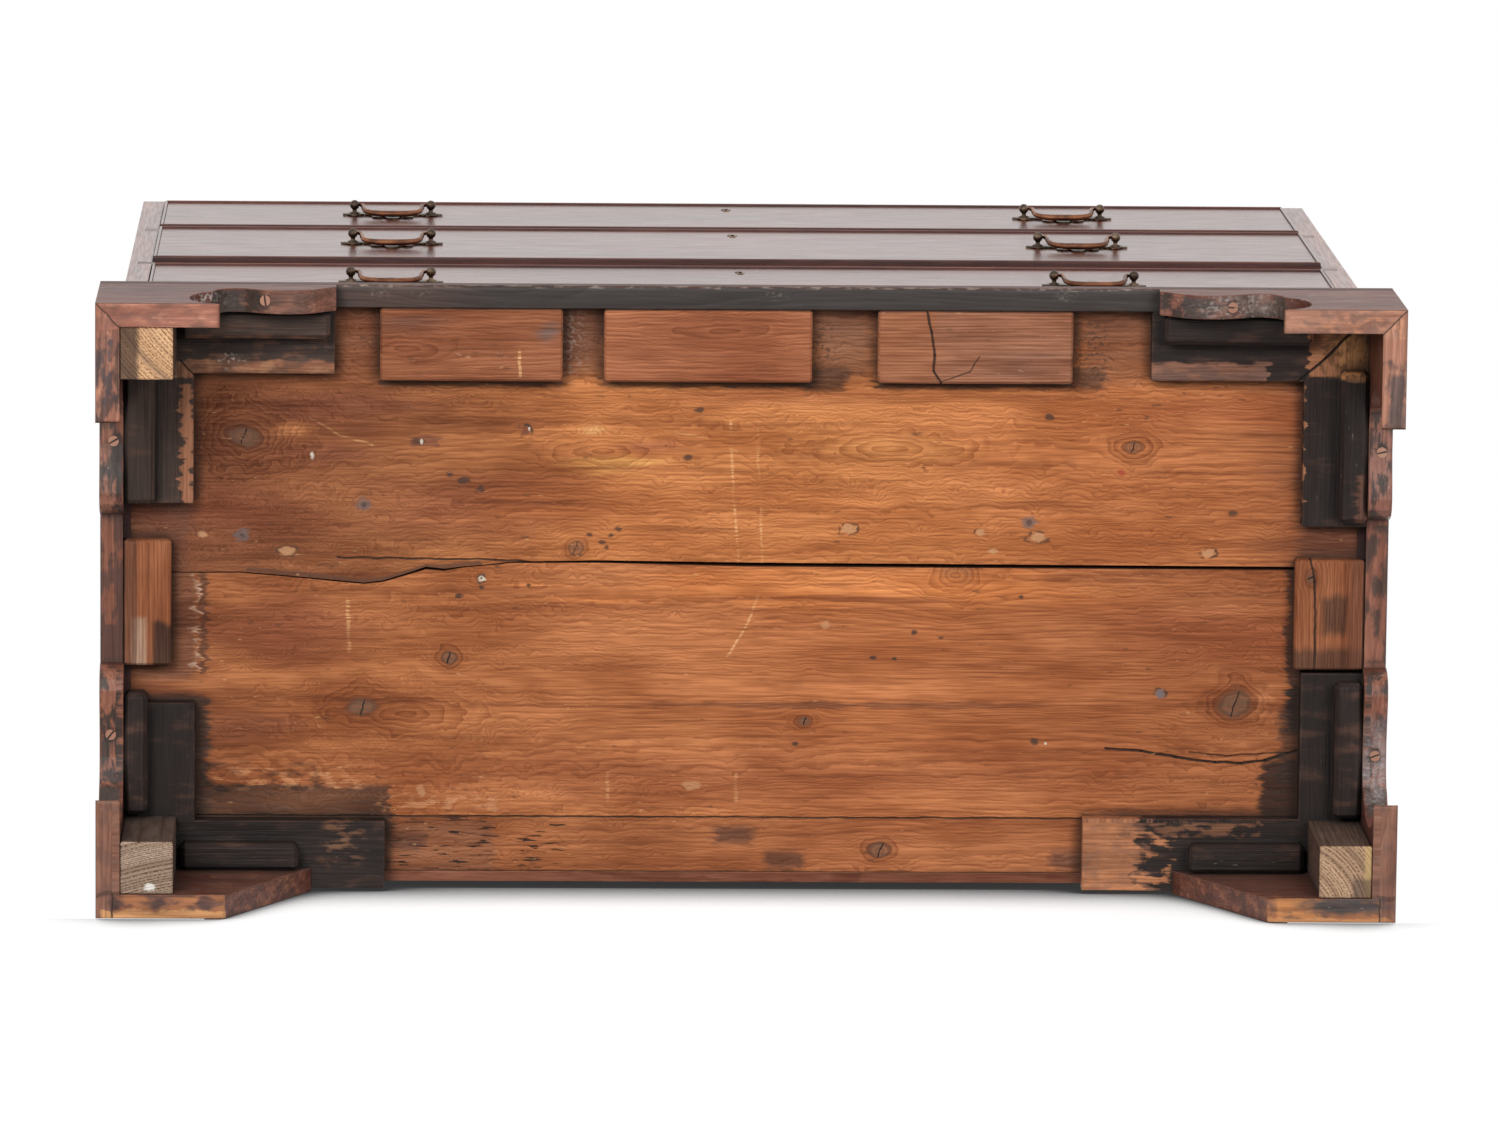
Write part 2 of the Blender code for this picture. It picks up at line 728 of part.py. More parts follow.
def bail(which, name, x, z, axis_y):
    """The swan-neck bail, drooping from its pins and lying back until its bar meets the backplate."""
    reach = post_spacing / 2 - ball_r
    lean = math.asin((post_reach - plate_t - 2 * seat - bail_r) / bail_drop)
    half = [(pin_depth + reach, 0, pin_r), (reach - seat, 0, pin_r)]
    for u, v, thick in bail_shares:
        half.append((u * reach, -v * bail_drop, pin_r + thick * (bail_r - pin_r)))
    curve = bpy.data.curves.new(f"{which}_bail_{name}", "CURVE")
    curve.dimensions = "3D"
    curve.bevel_depth = bail_r
    curve.bevel_resolution = 2
    curve.use_fill_caps = True
    line = half + [(-u, v, r) for u, v, r in reversed(half[:-1])]
    spline = curve.splines.new("POLY")
    spline.points.add(len(line) - 1)
    for point, (u, v, r) in zip(spline.points, line):
        point.co = (u, 0, v, 1)
        point.radius = r / bail_r
    place = Matrix.Translation((x, axis_y, z)) @ Matrix.Rotation(lean, 4, "X")
    meshed(f"{which}_bail_{name}", curve, place, brass)


def drawer(which):
    """One drawer: a cockbeaded front, dovetailed linings, a bottom in grooves, handles and a lock."""
    low = drawer_low[which]
    high = low + heights[which]
    face = case_front - proud[which]
    front_back = face + front_t
    rear = inner_back - drawer_back_room
    middle_z = (low + high) / 2
    bottom_low = low + bottom_raise
    bottom_high = bottom_low + drawer_bottom_t
    back_low, back_high = bottom_high + seat, high - back_drop
    tail_tip = face + lap
    rear_shoulder = rear - lining_t

    groove_x = drawer_half - lining_t + groove
    groove_y = front_back - groove
    bottom_groove = box(
        f"{which}_drawer_bottom_grooves",
        (-groove_x - seat, groove_y - seat, bottom_low - seat),
        (groove_x + seat, rear + overrun, bottom_high + seat),
    )
    box(
        f"{which}_drawer_bottom",
        (-groove_x, groove_y, bottom_low),
        (groove_x, rear, bottom_high),
        pine,
    )

    front = box(
        f"{which}_drawer_front",
        (-drawer_half, face, low),
        (drawer_half, front_back, high),
        mahogany,
    )
    nose = arc((-bead_t / 2, 0), (bead_t / 2, bead_projection), 0, math.pi)
    section = [(0, -bead_root), *nose[:: curve_steps // 4], (-bead_t, -bead_root)]
    corners = [(-drawer_half, high), (drawer_half, high), (drawer_half, low), (-drawer_half, low)]
    join(front, frame_run(f"{which}_cockbead", section, corners[::-1], True, at_y(face)))

    front_tails = (drawer_tails, low, high, front_back + seat, tail_tip + seat)
    rear_tails = (back_tails, back_low, back_high, rear_shoulder - seat, rear)
    socket_t = lining_t + seat + overrun
    linings = []
    for side, name in ((-1, "left"), (1, "right")):
        outline = [
            (front_back + seat, low),
            (rear, low),
            (rear, back_low - seat),
            (rear_shoulder - seat, back_low - seat),
            *tailed_edge(*rear_tails),
            (rear_shoulder - seat, back_high + seat),
            (rear, back_high + seat),
            (rear, high),
            (front_back + seat, high),
            *reversed(tailed_edge(*front_tails)),
        ]
        place = at_x(side * (drawer_half - lining_t / 2))
        lining = flat(f"{which}_drawer_side_{name}", [outline], lining_t, place, oak)
        cut(lining, bottom_groove)
        linings.append(at_x(side * (drawer_half - lining_t - seat + socket_t / 2)))

    back = box(
        f"{which}_drawer_back",
        (-drawer_half, rear_shoulder, back_low),
        (drawer_half, rear, back_high),
        oak,
    )
    for place in linings:
        cut(front, flat(f"{which}_front_sockets", sockets(*front_tails, False), socket_t, place))
        cut(back, flat(f"{which}_back_sockets", sockets(*rear_tails, True), socket_t, place))
    cut(front, bottom_groove)

    lock(which, front, front_back, high)
    hole_r = shank_r + shank_clearance
    for side, name in ((-1, "left"), (1, "right")):
        x = side * handle_x
        for post in (-1, 1):
            hole_x = x + post * post_spacing / 2
            cut(front, bore(f"{which}_shank_hole", hole_x, middle_z, (face, front_back), hole_r))
        handle(which, name, x, middle_z, face)


def bore(name, x, z, faces, radius):
    """A round cutter that passes through a drawer front."""
    form = bmesh.new()
    bmesh.ops.create_cone(
        form,
        cap_ends=True,
        segments=post_sides,
        radius1=radius,
        radius2=radius,
        depth=faces[1] - faces[0] + 2 * overrun,
    )
    mesh = bpy.data.meshes.new(name)
    form.to_mesh(mesh)
    form.free()
    place = Matrix.Translation((x, (faces[0] + faces[1]) / 2, z)) @ Matrix.Rotation(math.pi / 2, 4, "X")
    return add(name, mesh, place, None)


def lock(which, front, front_back, high):
    """A lock let into the back of the front, whose bolt shoots up into the rail above."""
    lock_top = high
    lock_bottom = lock_top - lock_height
    lock_front = front_back - lock_depth
    cut(
        front,
        box(
            f"{which}_lock_recess",
            (-lock_width / 2 - seat, lock_front - seat, lock_bottom - seat),
            (lock_width / 2 + seat, front_back + overrun, lock_top + overrun),
        ),
    )
    case_box = box(
        f"{which}_lock",
        (-lock_width / 2, lock_front, lock_bottom),
        (lock_width / 2, front_back, lock_top),
        iron,
    )
    middle_y = (lock_front + front_back) / 2
    reach = Vector((bolt_size.x / 2, bolt_size.y / 2))
    bolt_low = lock_top - seat - bolt_size.z
    cut(
        case_box,
        box(
            f"{which}_bolt_slot",
            (-reach.x - bolt_clearance, middle_y - reach.y - bolt_clearance, bolt_low - seat),
            (reach.x + bolt_clearance, middle_y + reach.y + bolt_clearance, lock_top + overrun),
        ),
    )
    box(
        f"{which}_lock_bolt",
        (-reach.x, middle_y - reach.y, bolt_low),
        (reach.x, middle_y + reach.y, lock_top - seat),
        iron,
    )
    above = {"upper": "case_top", "middle": "divider_rail_upper", "lower": "divider_rail_lower"}
    rail = main.objects[above[which]]
    soffit = high + drawer_headroom
    room = 2 * bolt_clearance
    cut(
        rail,
        box(
            f"{which}_lock_mortise",
            (-reach.x - room, middle_y - reach.y - room, soffit - overrun),
            (reach.x + room, middle_y + reach.y + room, lock_top + bolt_travel + room),
        ),
    )
    face, eye_z = front_back - front_t, high - keyhole_drop
    eye = bore(f"{which}_keyhole_eye", 0, eye_z, (face, lock_front), keyhole_r)
    slot = box(
        f"{which}_keyhole_slot",
        (-keyhole_slot.x / 2, face - overrun, eye_z - keyhole_slot.y),
        (keyhole_slot.x / 2, lock_front + overrun / 2, eye_z),
    )
    cut(front, eye, slot)


case()
base_moulding()
feet()
corner_blocking()
glue_blocks()
for which in drawer_names:
    drawer(which)

for piece in main.objects:
    if piece.name.split("_")[1] in ("handle", "bail"):
        piece.data.shade_smooth()
        piece.data.set_sharp_from_angle(angle=math.radians(40))
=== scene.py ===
import math

import bpy
from mathutils import Matrix, Vector


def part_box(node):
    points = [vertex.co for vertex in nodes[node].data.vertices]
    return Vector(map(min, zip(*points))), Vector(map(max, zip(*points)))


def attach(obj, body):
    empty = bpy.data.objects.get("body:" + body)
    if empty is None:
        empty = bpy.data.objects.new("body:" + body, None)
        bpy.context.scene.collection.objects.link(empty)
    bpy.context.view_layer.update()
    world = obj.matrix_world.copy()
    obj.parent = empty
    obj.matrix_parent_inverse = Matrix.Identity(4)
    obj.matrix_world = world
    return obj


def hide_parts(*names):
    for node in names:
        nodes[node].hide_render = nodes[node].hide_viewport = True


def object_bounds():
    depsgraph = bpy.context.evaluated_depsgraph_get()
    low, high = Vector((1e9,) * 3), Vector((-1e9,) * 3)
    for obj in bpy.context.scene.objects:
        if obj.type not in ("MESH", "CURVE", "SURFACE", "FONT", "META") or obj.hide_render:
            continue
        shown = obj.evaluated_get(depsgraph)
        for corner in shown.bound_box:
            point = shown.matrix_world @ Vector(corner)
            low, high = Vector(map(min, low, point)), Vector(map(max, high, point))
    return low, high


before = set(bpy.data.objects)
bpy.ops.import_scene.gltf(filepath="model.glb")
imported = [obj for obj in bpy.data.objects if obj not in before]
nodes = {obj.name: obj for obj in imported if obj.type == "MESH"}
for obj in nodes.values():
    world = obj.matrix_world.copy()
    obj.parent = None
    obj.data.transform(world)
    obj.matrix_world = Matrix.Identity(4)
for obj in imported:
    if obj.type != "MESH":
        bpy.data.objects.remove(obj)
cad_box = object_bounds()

bpy.ops.object.select_all(action="DESELECT")

# Camera, at the photograph's angle: in front of and far below the chest, looking up at its underside.
# The picture is 1500 px wide and the focal length was solved in pixels.
picture_width = 1500
focal_length = 9871.4
sensor = 36
tilt, turn, roll = (math.radians(angle) for angle in (9.236, -1.9151, 0.2691))
stand_off = Vector((0, 0.04592, 8.60831))
spin = Matrix.Rotation(roll, 3, "Z") @ Matrix.Rotation(turn, 3, "Y") @ Matrix.Rotation(tilt, 3, "X")
camera = bpy.data.objects.new("camera", bpy.data.cameras.new("camera"))
bpy.context.scene.collection.objects.link(camera)
camera.data.sensor_width = sensor
camera.data.lens = focal_length * sensor / picture_width
camera.data.clip_end = 50
axes = Matrix((spin[0], -spin[1], -spin[2])).transposed()
camera.matrix_world = Matrix.Translation(-(spin.transposed() @ stand_off)) @ axes.to_4x4()
bpy.context.scene.camera = camera


# Bottom boards: two wide pine boards with an open joint between them, and a narrow one glued on
# behind. They are sawn, never planed or polished, and brown with age. All lie in the case sides'
# rebates.
class Graph:
    """The nodes of a material or a shader group. A value is a number or another node's output."""

    def __init__(self, tree):
        self.tree = tree

    def feed(self, sockets, values):
        for key, value in values.items():
            if isinstance(value, bpy.types.NodeSocket):
                self.tree.links.new(value, sockets[key])
            else:
                sockets[key].default_value = value

    def node(self, kind, inputs=None, **settings):
        made = self.tree.nodes.new("ShaderNode" + kind)
        for key, value in settings.items():
            setattr(made, key, value)
        self.feed(made.inputs, inputs or {})
        return made.outputs

    def use(self, effect, inputs):
        return self.node("Group", inputs, node_tree=effect.tree)

    def math(self, operation, *values, clamp=False):
        return self.node("Math", dict(enumerate(values)), operation=operation, use_clamp=clamp)[0]

    def plus(self, *values, clamp=False):
        return self.math("ADD", *values, clamp=clamp)

    def minus(self, *values, clamp=False):
        return self.math("SUBTRACT", *values, clamp=clamp)

    def times(self, *values):
        return self.math("MULTIPLY", *values)

    def times_plus(self, value, factor, added):
        return self.math("MULTIPLY_ADD", value, factor, added)

    def over(self, value, divisor, clamp=False):
        return self.math("DIVIDE", value, divisor, clamp=clamp)

    def centred(self, value):
        return self.minus(value, 0.5)

    def vector(self, operation, *values, out="Vector"):
        return self.node("VectorMath", dict(enumerate(values)), operation=operation)[out]

    def length(self, value):
        return self.vector("LENGTH", value, out="Value")

    def xyz(self, x, y, z=0.0):
        return self.node("CombineXYZ", {0: x, 1: y, 2: z})[0]

    def split(self, value):
        return self.node("SeparateXYZ", {0: value})

    def fade(self, value, start, end, low=0.0, high=1.0):
        """Low before start, high after end, and a soft passage between."""
        inputs = {"Value": value, "From Min": start, "From Max": end, "To Min": low, "To Max": high}
        return self.node("MapRange", inputs, interpolation_type="SMOOTHSTEP")[0]

    def fade_out(self, value, start, end, high=1.0):
        return self.fade(value, start, end, high, 0.0)

    def noise(self, place, stretch, detail=2.0, out="Fac"):
        inputs = {"Vector": self.vector("MULTIPLY", place, stretch), "Scale": 1.0, "Detail": detail}
        return self.node("TexNoise", inputs)[out]

    def blend(self, amount, under, over, blend_type="MIX"):
        inputs = {0: amount, 6: under, 7: over}
        return self.node("Mix", inputs, data_type="RGBA", blend_type=blend_type)[2]


class Effect(Graph):
    """A shader group that many materials place, each with its own values."""

    def __init__(self, name, inputs):
        super().__init__(bpy.data.node_groups.new(name, "ShaderNodeTree"))
        for label, value in {"Place": (0, 0, 0), **inputs}.items():
            self.socket(label, "INPUT", isinstance(value, tuple)).default_value = value
        self.given = self.tree.nodes.new("NodeGroupInput").outputs

    def socket(self, label, in_out, is_vector):
        kind = "NodeSocketVector" if is_vector else "NodeSocketFloat"
        return self.tree.interface.new_socket(label, in_out=in_out, socket_type=kind)

    def give(self, results):
        for label in results:
            self.socket(label, "OUTPUT", label in ("Place", "Normal"))
        self.feed(self.tree.nodes.new("NodeGroupOutput").inputs, results)


board_grain = wood = Effect("board grain", {"Seed": 0.0, "Spacing": 0.004, "Waver": 0.01, "Bend": 0.0})
seed = wood.given["Seed"]
moved = wood.vector("ADD", wood.given["Place"], wood.xyz(seed, seed))
parts = wood.split(wood.given["Place"])
slow = wood.centred(wood.noise(moved, (1.6, 9, 9)))
quick = wood.centred(wood.noise(moved, (11, 70, 70)))
level = wood.plus(wood.times_plus(parts["Z"], 0.5, parts["Y"]), wood.given["Bend"])
level = wood.times_plus(wood.times_plus(quick, 0.09, slow), wood.given["Waver"], level)
years = {"W": wood.times_plus(level, 38.0, seed), "Scale": 1.0, "Detail": 1.0}
uneven = wood.node("TexNoise", years, noise_dimensions="1D")["Fac"]
season = wood.math("FRACT", wood.times_plus(uneven, 5.0, wood.over(level, wood.given["Spacing"])))
elsewhere = wood.vector("ADD", moved, (3.7, 1.3, 0.4))
wood.give({
    "Rings": wood.times(wood.math("POWER", season, 1.9), wood.fade_out(season, 0.88, 1.0)),
    "Fibre": wood.fade(wood.noise(moved, (26, 520, 520), 3.0), 0.34, 0.66),
    "Mottle": wood.fade(wood.noise(moved, (7, 26, 26), 5.0), 0.32, 0.68),
    "Streak": wood.fade(wood.noise(moved, (4, 95, 95), 5.0), 0.52, 0.72),
    "Flame": wood.fade(wood.noise(elsewhere, (6, 110, 110), 4.0), 0.55, 0.75),
})

wood_knot = knot = Effect("knot", {"Centre": (0, 0, 0), "Radius": 0.006, "Reach": 0.02, "Stretch": 1.3})
place, reach = knot.given["Place"], knot.given["Reach"]
apart = knot.split(knot.vector("SUBTRACT", place, knot.given["Centre"]))
gap = knot.length(knot.xyz(knot.over(apart["X"], knot.given["Stretch"]), apart["Y"]))
gap = knot.times(gap, knot.times_plus(knot.noise(place, (40, 50, 0), 3.0), 1.3, 0.35))
reach_squared = knot.times(reach, reach)
push = knot.over(reach_squared, knot.math("MAXIMUM", knot.times(gap, gap), reach_squared))
share = knot.over(gap, knot.given["Radius"])
core = knot.fade_out(share, 0.8, 1.1)
turns = knot.times(knot.math("POWER", gap, 0.8), 110.0)
bow = knot.centred(knot.noise(place, (90, 90, 0)))
lean = knot.times_plus(bow, 0.006, knot.times_plus(apart["Y"], 0.35, apart["X"]))
knot.give({
    "Bend": knot.times(knot.times(push, apart["Y"]), -0.8),
    "Core": core,
    "Rim": knot.times(knot.fade(share, 0.6, 0.95), knot.fade_out(share, 1.0, 1.5)),
    "Rings": knot.math("POWER", knot.math("FRACT", turns), 1.3),
    "Halo": knot.fade_out(knot.over(gap, reach), 0.75, 1.15),
    "Crack": knot.times(knot.fade_out(knot.math("ABSOLUTE", lean), 0.0003, 0.0011), core),
})

ragged_place = torn = Effect("ragged place", {"Amount": (0.03, 0.006, 0.006), "Stretch": (14, 80, 80)})
tear = torn.noise(torn.given["Place"], torn.given["Stretch"], 4.0, out="Color")
tear = torn.vector("MULTIPLY", torn.vector("SUBTRACT", tear, (0.5, 0.5, 0.5)), torn.given["Amount"])
torn.give({"Place": torn.vector("ADD", torn.given["Place"], tear)})

patch_inputs = {"Centre": (0, 0, 0), "Half Size": (0.01, 0.01, 1.0), "Fade": 0.003}
stain_patch = stain = Effect("stain patch", patch_inputs)
off = stain.vector("ABSOLUTE", stain.vector("SUBTRACT", stain.given["Place"], stain.given["Centre"]))
off = stain.vector("MAXIMUM", stain.vector("SUBTRACT", off, stain.given["Half Size"]), (0, 0, 0))
stain.give({"Mask": stain.fade_out(stain.over(stain.length(off), stain.given["Fade"]), 0.0, 1.0)})

round_spot = spot = Effect("round spot", {"Centre": (0, 0, 0), "Size": (0.004, 0.003, 1.0)})
place = spot.given["Place"]
off = spot.vector("DIVIDE", spot.vector("SUBTRACT", place, spot.given["Centre"]), spot.given["Size"])
lumps = spot.centred(spot.noise(place, (170, 230, 230), 3.0))
beyond = spot.times_plus(lumps, 1.6, spot.length(off))
ring = spot.times(spot.fade(beyond, 0.7, 1.0), spot.fade_out(beyond, 1.0, 1.4))
broken = spot.fade(spot.noise(place, (120, 120, 120), 1.0), 0.4, 0.6)
spot.give({"Mask": spot.fade_out(beyond, 0.45, 1.05), "Rim": spot.times(ring, broken)})

thin_line = line = Effect("thin line", {"Start": (0, 0, 0), "End": (0.1, 0, 0), "Width": 0.001})
run = line.vector("SUBTRACT", line.given["End"], line.given["Start"])
reached = line.vector("SUBTRACT", line.given["Place"], line.given["Start"])
along = (line.vector("DOT_PRODUCT", start, run, out="Value") for start in (reached, run))
nearest = line.node("VectorMath", {0: run, "Scale": line.over(*along, clamp=True)}, operation="SCALE")[0]
beside = line.vector("DISTANCE", reached, nearest, out="Value")
line.give({"Mask": line.fade_out(line.over(beside, line.given["Width"]), 0.3, 1.0)})

worn_edge = edge = Effect("worn edge", {"Reach": 0.002})
rounded = edge.node("Bevel", {"Radius": edge.given["Reach"]}, samples=4)[0]
agree = edge.vector("DOT_PRODUCT", rounded, edge.node("NewGeometry")["Normal"], out="Value")
rubbed = edge.fade(edge.noise(edge.given["Place"], (60, 60, 60), 3.0), 0.3, 0.6)
edge.give({"Mask": edge.times(edge.fade(agree, 0.97, 0.8), rubbed), "Normal": rounded})

# Dirt and painted shade: darkens hollows and corners where ambient occlusion finds other surfaces near,
# broken up by noise.
corner_grime_and_shade = grime_and_shade = Effect("corner grime", {"Reach": 0.02})
open_air = grime_and_shade.node("AmbientOcclusion", {"Distance": grime_and_shade.given["Reach"]}, samples=6)["AO"]
patchy = grime_and_shade.centred(grime_and_shade.noise(grime_and_shade.given["Place"], (40, 40, 40), 3.0))
grime_and_shade.give({"Mask": grime_and_shade.fade_out(grime_and_shade.plus(open_air, grime_and_shade.times(patchy, 0.5)), 0.45, 1.0)})


def full(colour):
    return (*colour, 1.0)


def metres(lengths):
    return tuple(0.001 * length for length in lengths)


class Material(Graph):
    def __init__(self, name):
        self.made = bpy.data.materials.new(name)
        self.made.use_nodes = True
        super().__init__(self.made.node_tree)
        self.shader = self.tree.nodes["Principled BSDF"].inputs
        self.here = self.node("TexCoord")["Object"]


class Wood(Material):
    """One kind of wood surface: the bare grain first, then each mark of age and use, and the painted
    shade, in turn.

    All lengths are in millimetres. A place or a half size given by x and y alone gets the height and the
    depth of the surface that is marked, which is the case's underside unless another is named.
    """

    grain_orders = {"xy": (0, 1, 2), "yx": (1, 0, 2), "zy": (2, 1, 0), "zx": (2, 0, 1), "xz": (0, 2, 1),
                    "yz": (1, 2, 0)}
    figure_core = 0.1
    smallest_knot = 1
    tone_drift = 0.07
    grain_loss = 1.55

    def __init__(self, name, tones, grain="xy", seed=0.0, spacing=3.2, waver=35,
                 late=(0.5, 0.38, 0.3), late_share=0.75, fibre_share=0.6, mottle=(0.66, 0.56, 0.48),
                 streak_share=0.5, flame_share=0.4, knots=(), figures=(), roughness=0.7, relief=0.3,
                 gloss=0.25, tear=(26, 9, 9), tear_stretch=(45, 230, 230), pith=None, turned=None,
                 surface=(140, 1000)):
        super().__init__(name)
        self.surface_z, self.surface_depth = surface
        self.relief, self.rounded, self.polished = relief, None, None
        self.parts = self.split(self.here)
        self.order = self.grain_orders[grain]
        first, second, third = (self.parts[index] for index in self.order)
        if pith:
            from_pith = self.vector("SUBTRACT", self.here, metres((*pith, 0)))
            second, third = self.length(self.vector("MULTIPLY", from_pith, (1, 1, 0))), 0.0
        self.grain = self.xyz(first, second, third)
        if turned:
            side_grain = self.xyz(self.parts["Y"], self.parts["X"], self.parts["Z"])
            inputs = {0: turned(self), 4: self.grain, 5: side_grain}
            self.grain = self.node("Mix", inputs, data_type="VECTOR")[1]
        cores = [(at, self.figure_core, *rest) for at, *rest in figures]
        self.grow(seed, spacing, waver, [*knots, *cores])
        bare = self.ramp(tones) if isinstance(tones[0], tuple) else full(tones)
        self.colour = full((1.0, 1.0, 1.0))
        for mask, share, colour in (
            (self.minus(1.0, self.mottle), 1.0, mottle), (self.flame, flame_share, (1.45, 1.6, 1.7)),
            (self.streak, streak_share, (0.42, 0.31, 0.26)), (self.rings, late_share, late),
            (self.fibre, fibre_share, (0.52, 0.44, 0.38)),
        ):
            self.lay(mask, colour, share, "MULTIPLY")
        self.detail = self.colour
        self.colour = self.blend(1.0, bare, self.detail, "MULTIPLY")
        for knot, is_real in self.knots:
            if is_real:
                self.darken_knot(knot)
        self.height = self.times_plus(self.rings, -0.6, self.times(self.fibre, -0.4))
        self.feed(self.shader, {"Specular IOR Level": gloss})
        self.roughness = self.times_plus(self.fibre, 0.12, roughness)
        self.torn = self.tear(metres(tear), tear_stretch)
        self.torn_little = None

    def grow(self, seed, spacing, waver, knots):
        """The board's grain, bent round its knots."""
        bend, self.knots = 0.0, []
        for centre, radius, reach, stretch in knots:
            centre = self.at(centre)
            inputs = {"Centre": [centre[index] for index in self.order], "Radius": 0.001 * radius,
                      "Reach": 0.001 * reach, "Stretch": stretch}
            knot = self.use(wood_knot, {"Place": self.grain, **inputs})
            bend = self.plus(bend, knot["Bend"])
            self.knots.append((knot, radius > self.smallest_knot))
        inputs = {"Seed": seed, "Spacing": 0.001 * spacing, "Waver": 0.001 * waver, "Bend": bend}
        grained = self.use(board_grain, {"Place": self.grain, **inputs})
        self.rings, self.fibre, self.mottle, self.streak, self.flame = grained
        for knot, _ in self.knots:
            turned = self.minus(knot["Rings"], self.rings)
            self.rings = self.times_plus(turned, knot["Halo"], self.rings)

    def ramp(self, tones):
        """The board's own tones from its left end to its right, each with its place."""
        ends = metres((tones[0][0], tones[-1][0]))
        step = self.times_plus(self.centred(self.mottle), self.tone_drift, self.parts["X"])
        share = self.fade(step, *ends)
        share.node.interpolation_type = "LINEAR"
        made = self.node("ValToRGB", {0: share})[0]
        stops = made.node.color_ramp.elements
        for place, _ in tones[1:-1]:
            stops.new((0.001 * place - ends[0]) / (ends[1] - ends[0]))
        for stop, (_, colour) in zip(stops, tones):
            stop.color = full(colour)
        return made

    def darken_knot(self, knot):
        self.lay(knot["Halo"], (0.7, 0.6, 0.5), 0.3, "MULTIPLY")
        turned = self.times(self.times(knot["Halo"], knot["Rings"]), 0.4)
        turned = self.times(turned, self.times_plus(self.mottle, 0.8, 0.3))
        self.lay(turned, (0.45, 0.33, 0.26), 1.0, "MULTIPLY")
        self.lay(self.times(knot["Core"], self.times_plus(self.fibre, 0.35, 0.4)), (0.15, 0.088, 0.056))
        self.lay(knot["Rim"], (0.06, 0.03, 0.02), 0.4)
        self.lay(knot["Crack"], (0.012, 0.008, 0.006))

    def at(self, place):
        return metres(place if len(place) == 3 else (*place, self.surface_z))

    def sized(self, half):
        return metres(half if len(half) == 3 else (*half, self.surface_depth))

    def tear(self, amount, stretch):
        return self.use(ragged_place, {"Place": self.here, "Amount": amount, "Stretch": stretch})["Place"]

    @property
    def slack(self):
        """The place, torn only a little, for small marks and lines."""
        if not self.torn_little:
            self.torn_little = self.tear(metres((4, 4, 4)), (50, 70, 70))
        return self.torn_little

    def lay(self, mask, colour, strength=1.0, blend_type="MIX"):
        if strength != 1.0:
            mask = self.times(mask, strength)
        colour = full(colour) if isinstance(colour, tuple) else colour
        self.colour = self.blend(mask, self.colour, colour, blend_type)

    def grained(self, colour, blend_type="MIX"):
        """A colour with the same grain in it as the wood round it."""
        if blend_type != "MIX":
            return colour
        lifted = full(tuple(self.grain_loss * value for value in colour))
        return self.blend(1.0, self.detail, lifted, "MULTIPLY")

    def cut(self, mask, depth):
        """Sinks the masked places. The depth is in units of the grain's relief."""
        self.height = self.times_plus(mask, -depth, self.height)

    def inside(self, centre, half, fade):
        inputs = {"Centre": self.at(centre), "Half Size": self.sized(half), "Fade": 0.001 * fade}
        return self.use(stain_patch, {"Place": self.torn, **inputs})["Mask"]

    def away(self, centre, half):
        """0 at the centre and 1 at the rim of an oval."""
        off = self.vector("SUBTRACT", self.torn, self.at(centre))
        return self.length(self.vector("DIVIDE", off, self.sized(half)))

    def patch(self, centre, half, colour, fade=3, strength=1.0, blend_type="MIX", streaky=0.0):
        mask = self.inside(centre, half, fade)
        if streaky:
            lines = self.plus(self.fibre, self.mottle)
            mask = self.minus(mask, self.times(lines, 0.6 * streaky), clamp=True)
        self.lay(mask, self.grained(colour, blend_type), strength, blend_type)

    def blotch(self, centre, half, colour, scale=60, cover=0.5, strength=0.9, fade=4):
        """Patchy colour inside a bounded place, as brushed stain wears away."""
        mask = self.inside(centre, half, fade)
        ragged = self.noise(self.grain, (0.55 * scale, scale, scale), 7.0)
        ragged = self.times_plus(self.centred(self.fibre), -0.07, ragged)
        worn = self.fade(ragged, 0.56 - 0.22 * cover, 0.7 - 0.22 * cover)
        self.lay(self.times(mask, self.times(worn, strength)), self.grained(colour))

    def dust(self, centre, half, strength=0.7, colour=(0.5, 0.47, 0.44)):
        """Pale dust and old web caught on rough wood."""
        beyond = self.away(centre, half)
        caught = self.fade(self.noise(self.here, (260, 330, 330), 6.0), 0.48, 0.66)
        self.lay(self.times(self.fade_out(beyond, 0.2, 1.1, strength), caught), colour)

    def flecks(self, colour=(0.5, 0.42, 0.34), strength=0.4, scale=300, amount=0.72):
        """Specks of dirt, plaster and paint."""
        specks = self.noise(self.grain, (0.35 * scale, scale, scale))
        gathered = self.noise(self.grain, (9, 16, 16))
        specks = self.times_plus(self.centred(gathered), 0.35, specks)
        self.lay(self.fade(specks, amount, amount + 0.09), colour, strength)

    def cloud(self, centre, half, colour, strength=1.0):
        """A soft-edged change of tone that runs out along the grain."""
        beyond = self.away(centre, half)
        uneven = self.plus(self.mottle, self.minus(self.streak, self.flame))
        beyond = self.times_plus(self.centred(uneven), 0.45, beyond)
        self.lay(self.fade_out(beyond, 0.1, 1.1, strength), self.grained(colour))

    def spot(self, centre, size, colour, rim=None, strength=0.8):
        inputs = {"Place": self.slack, "Centre": self.at(centre), "Size": self.sized(size)}
        made = self.use(round_spot, inputs)
        self.lay(made["Mask"], colour, strength)
        if rim:
            self.lay(made["Rim"], rim)

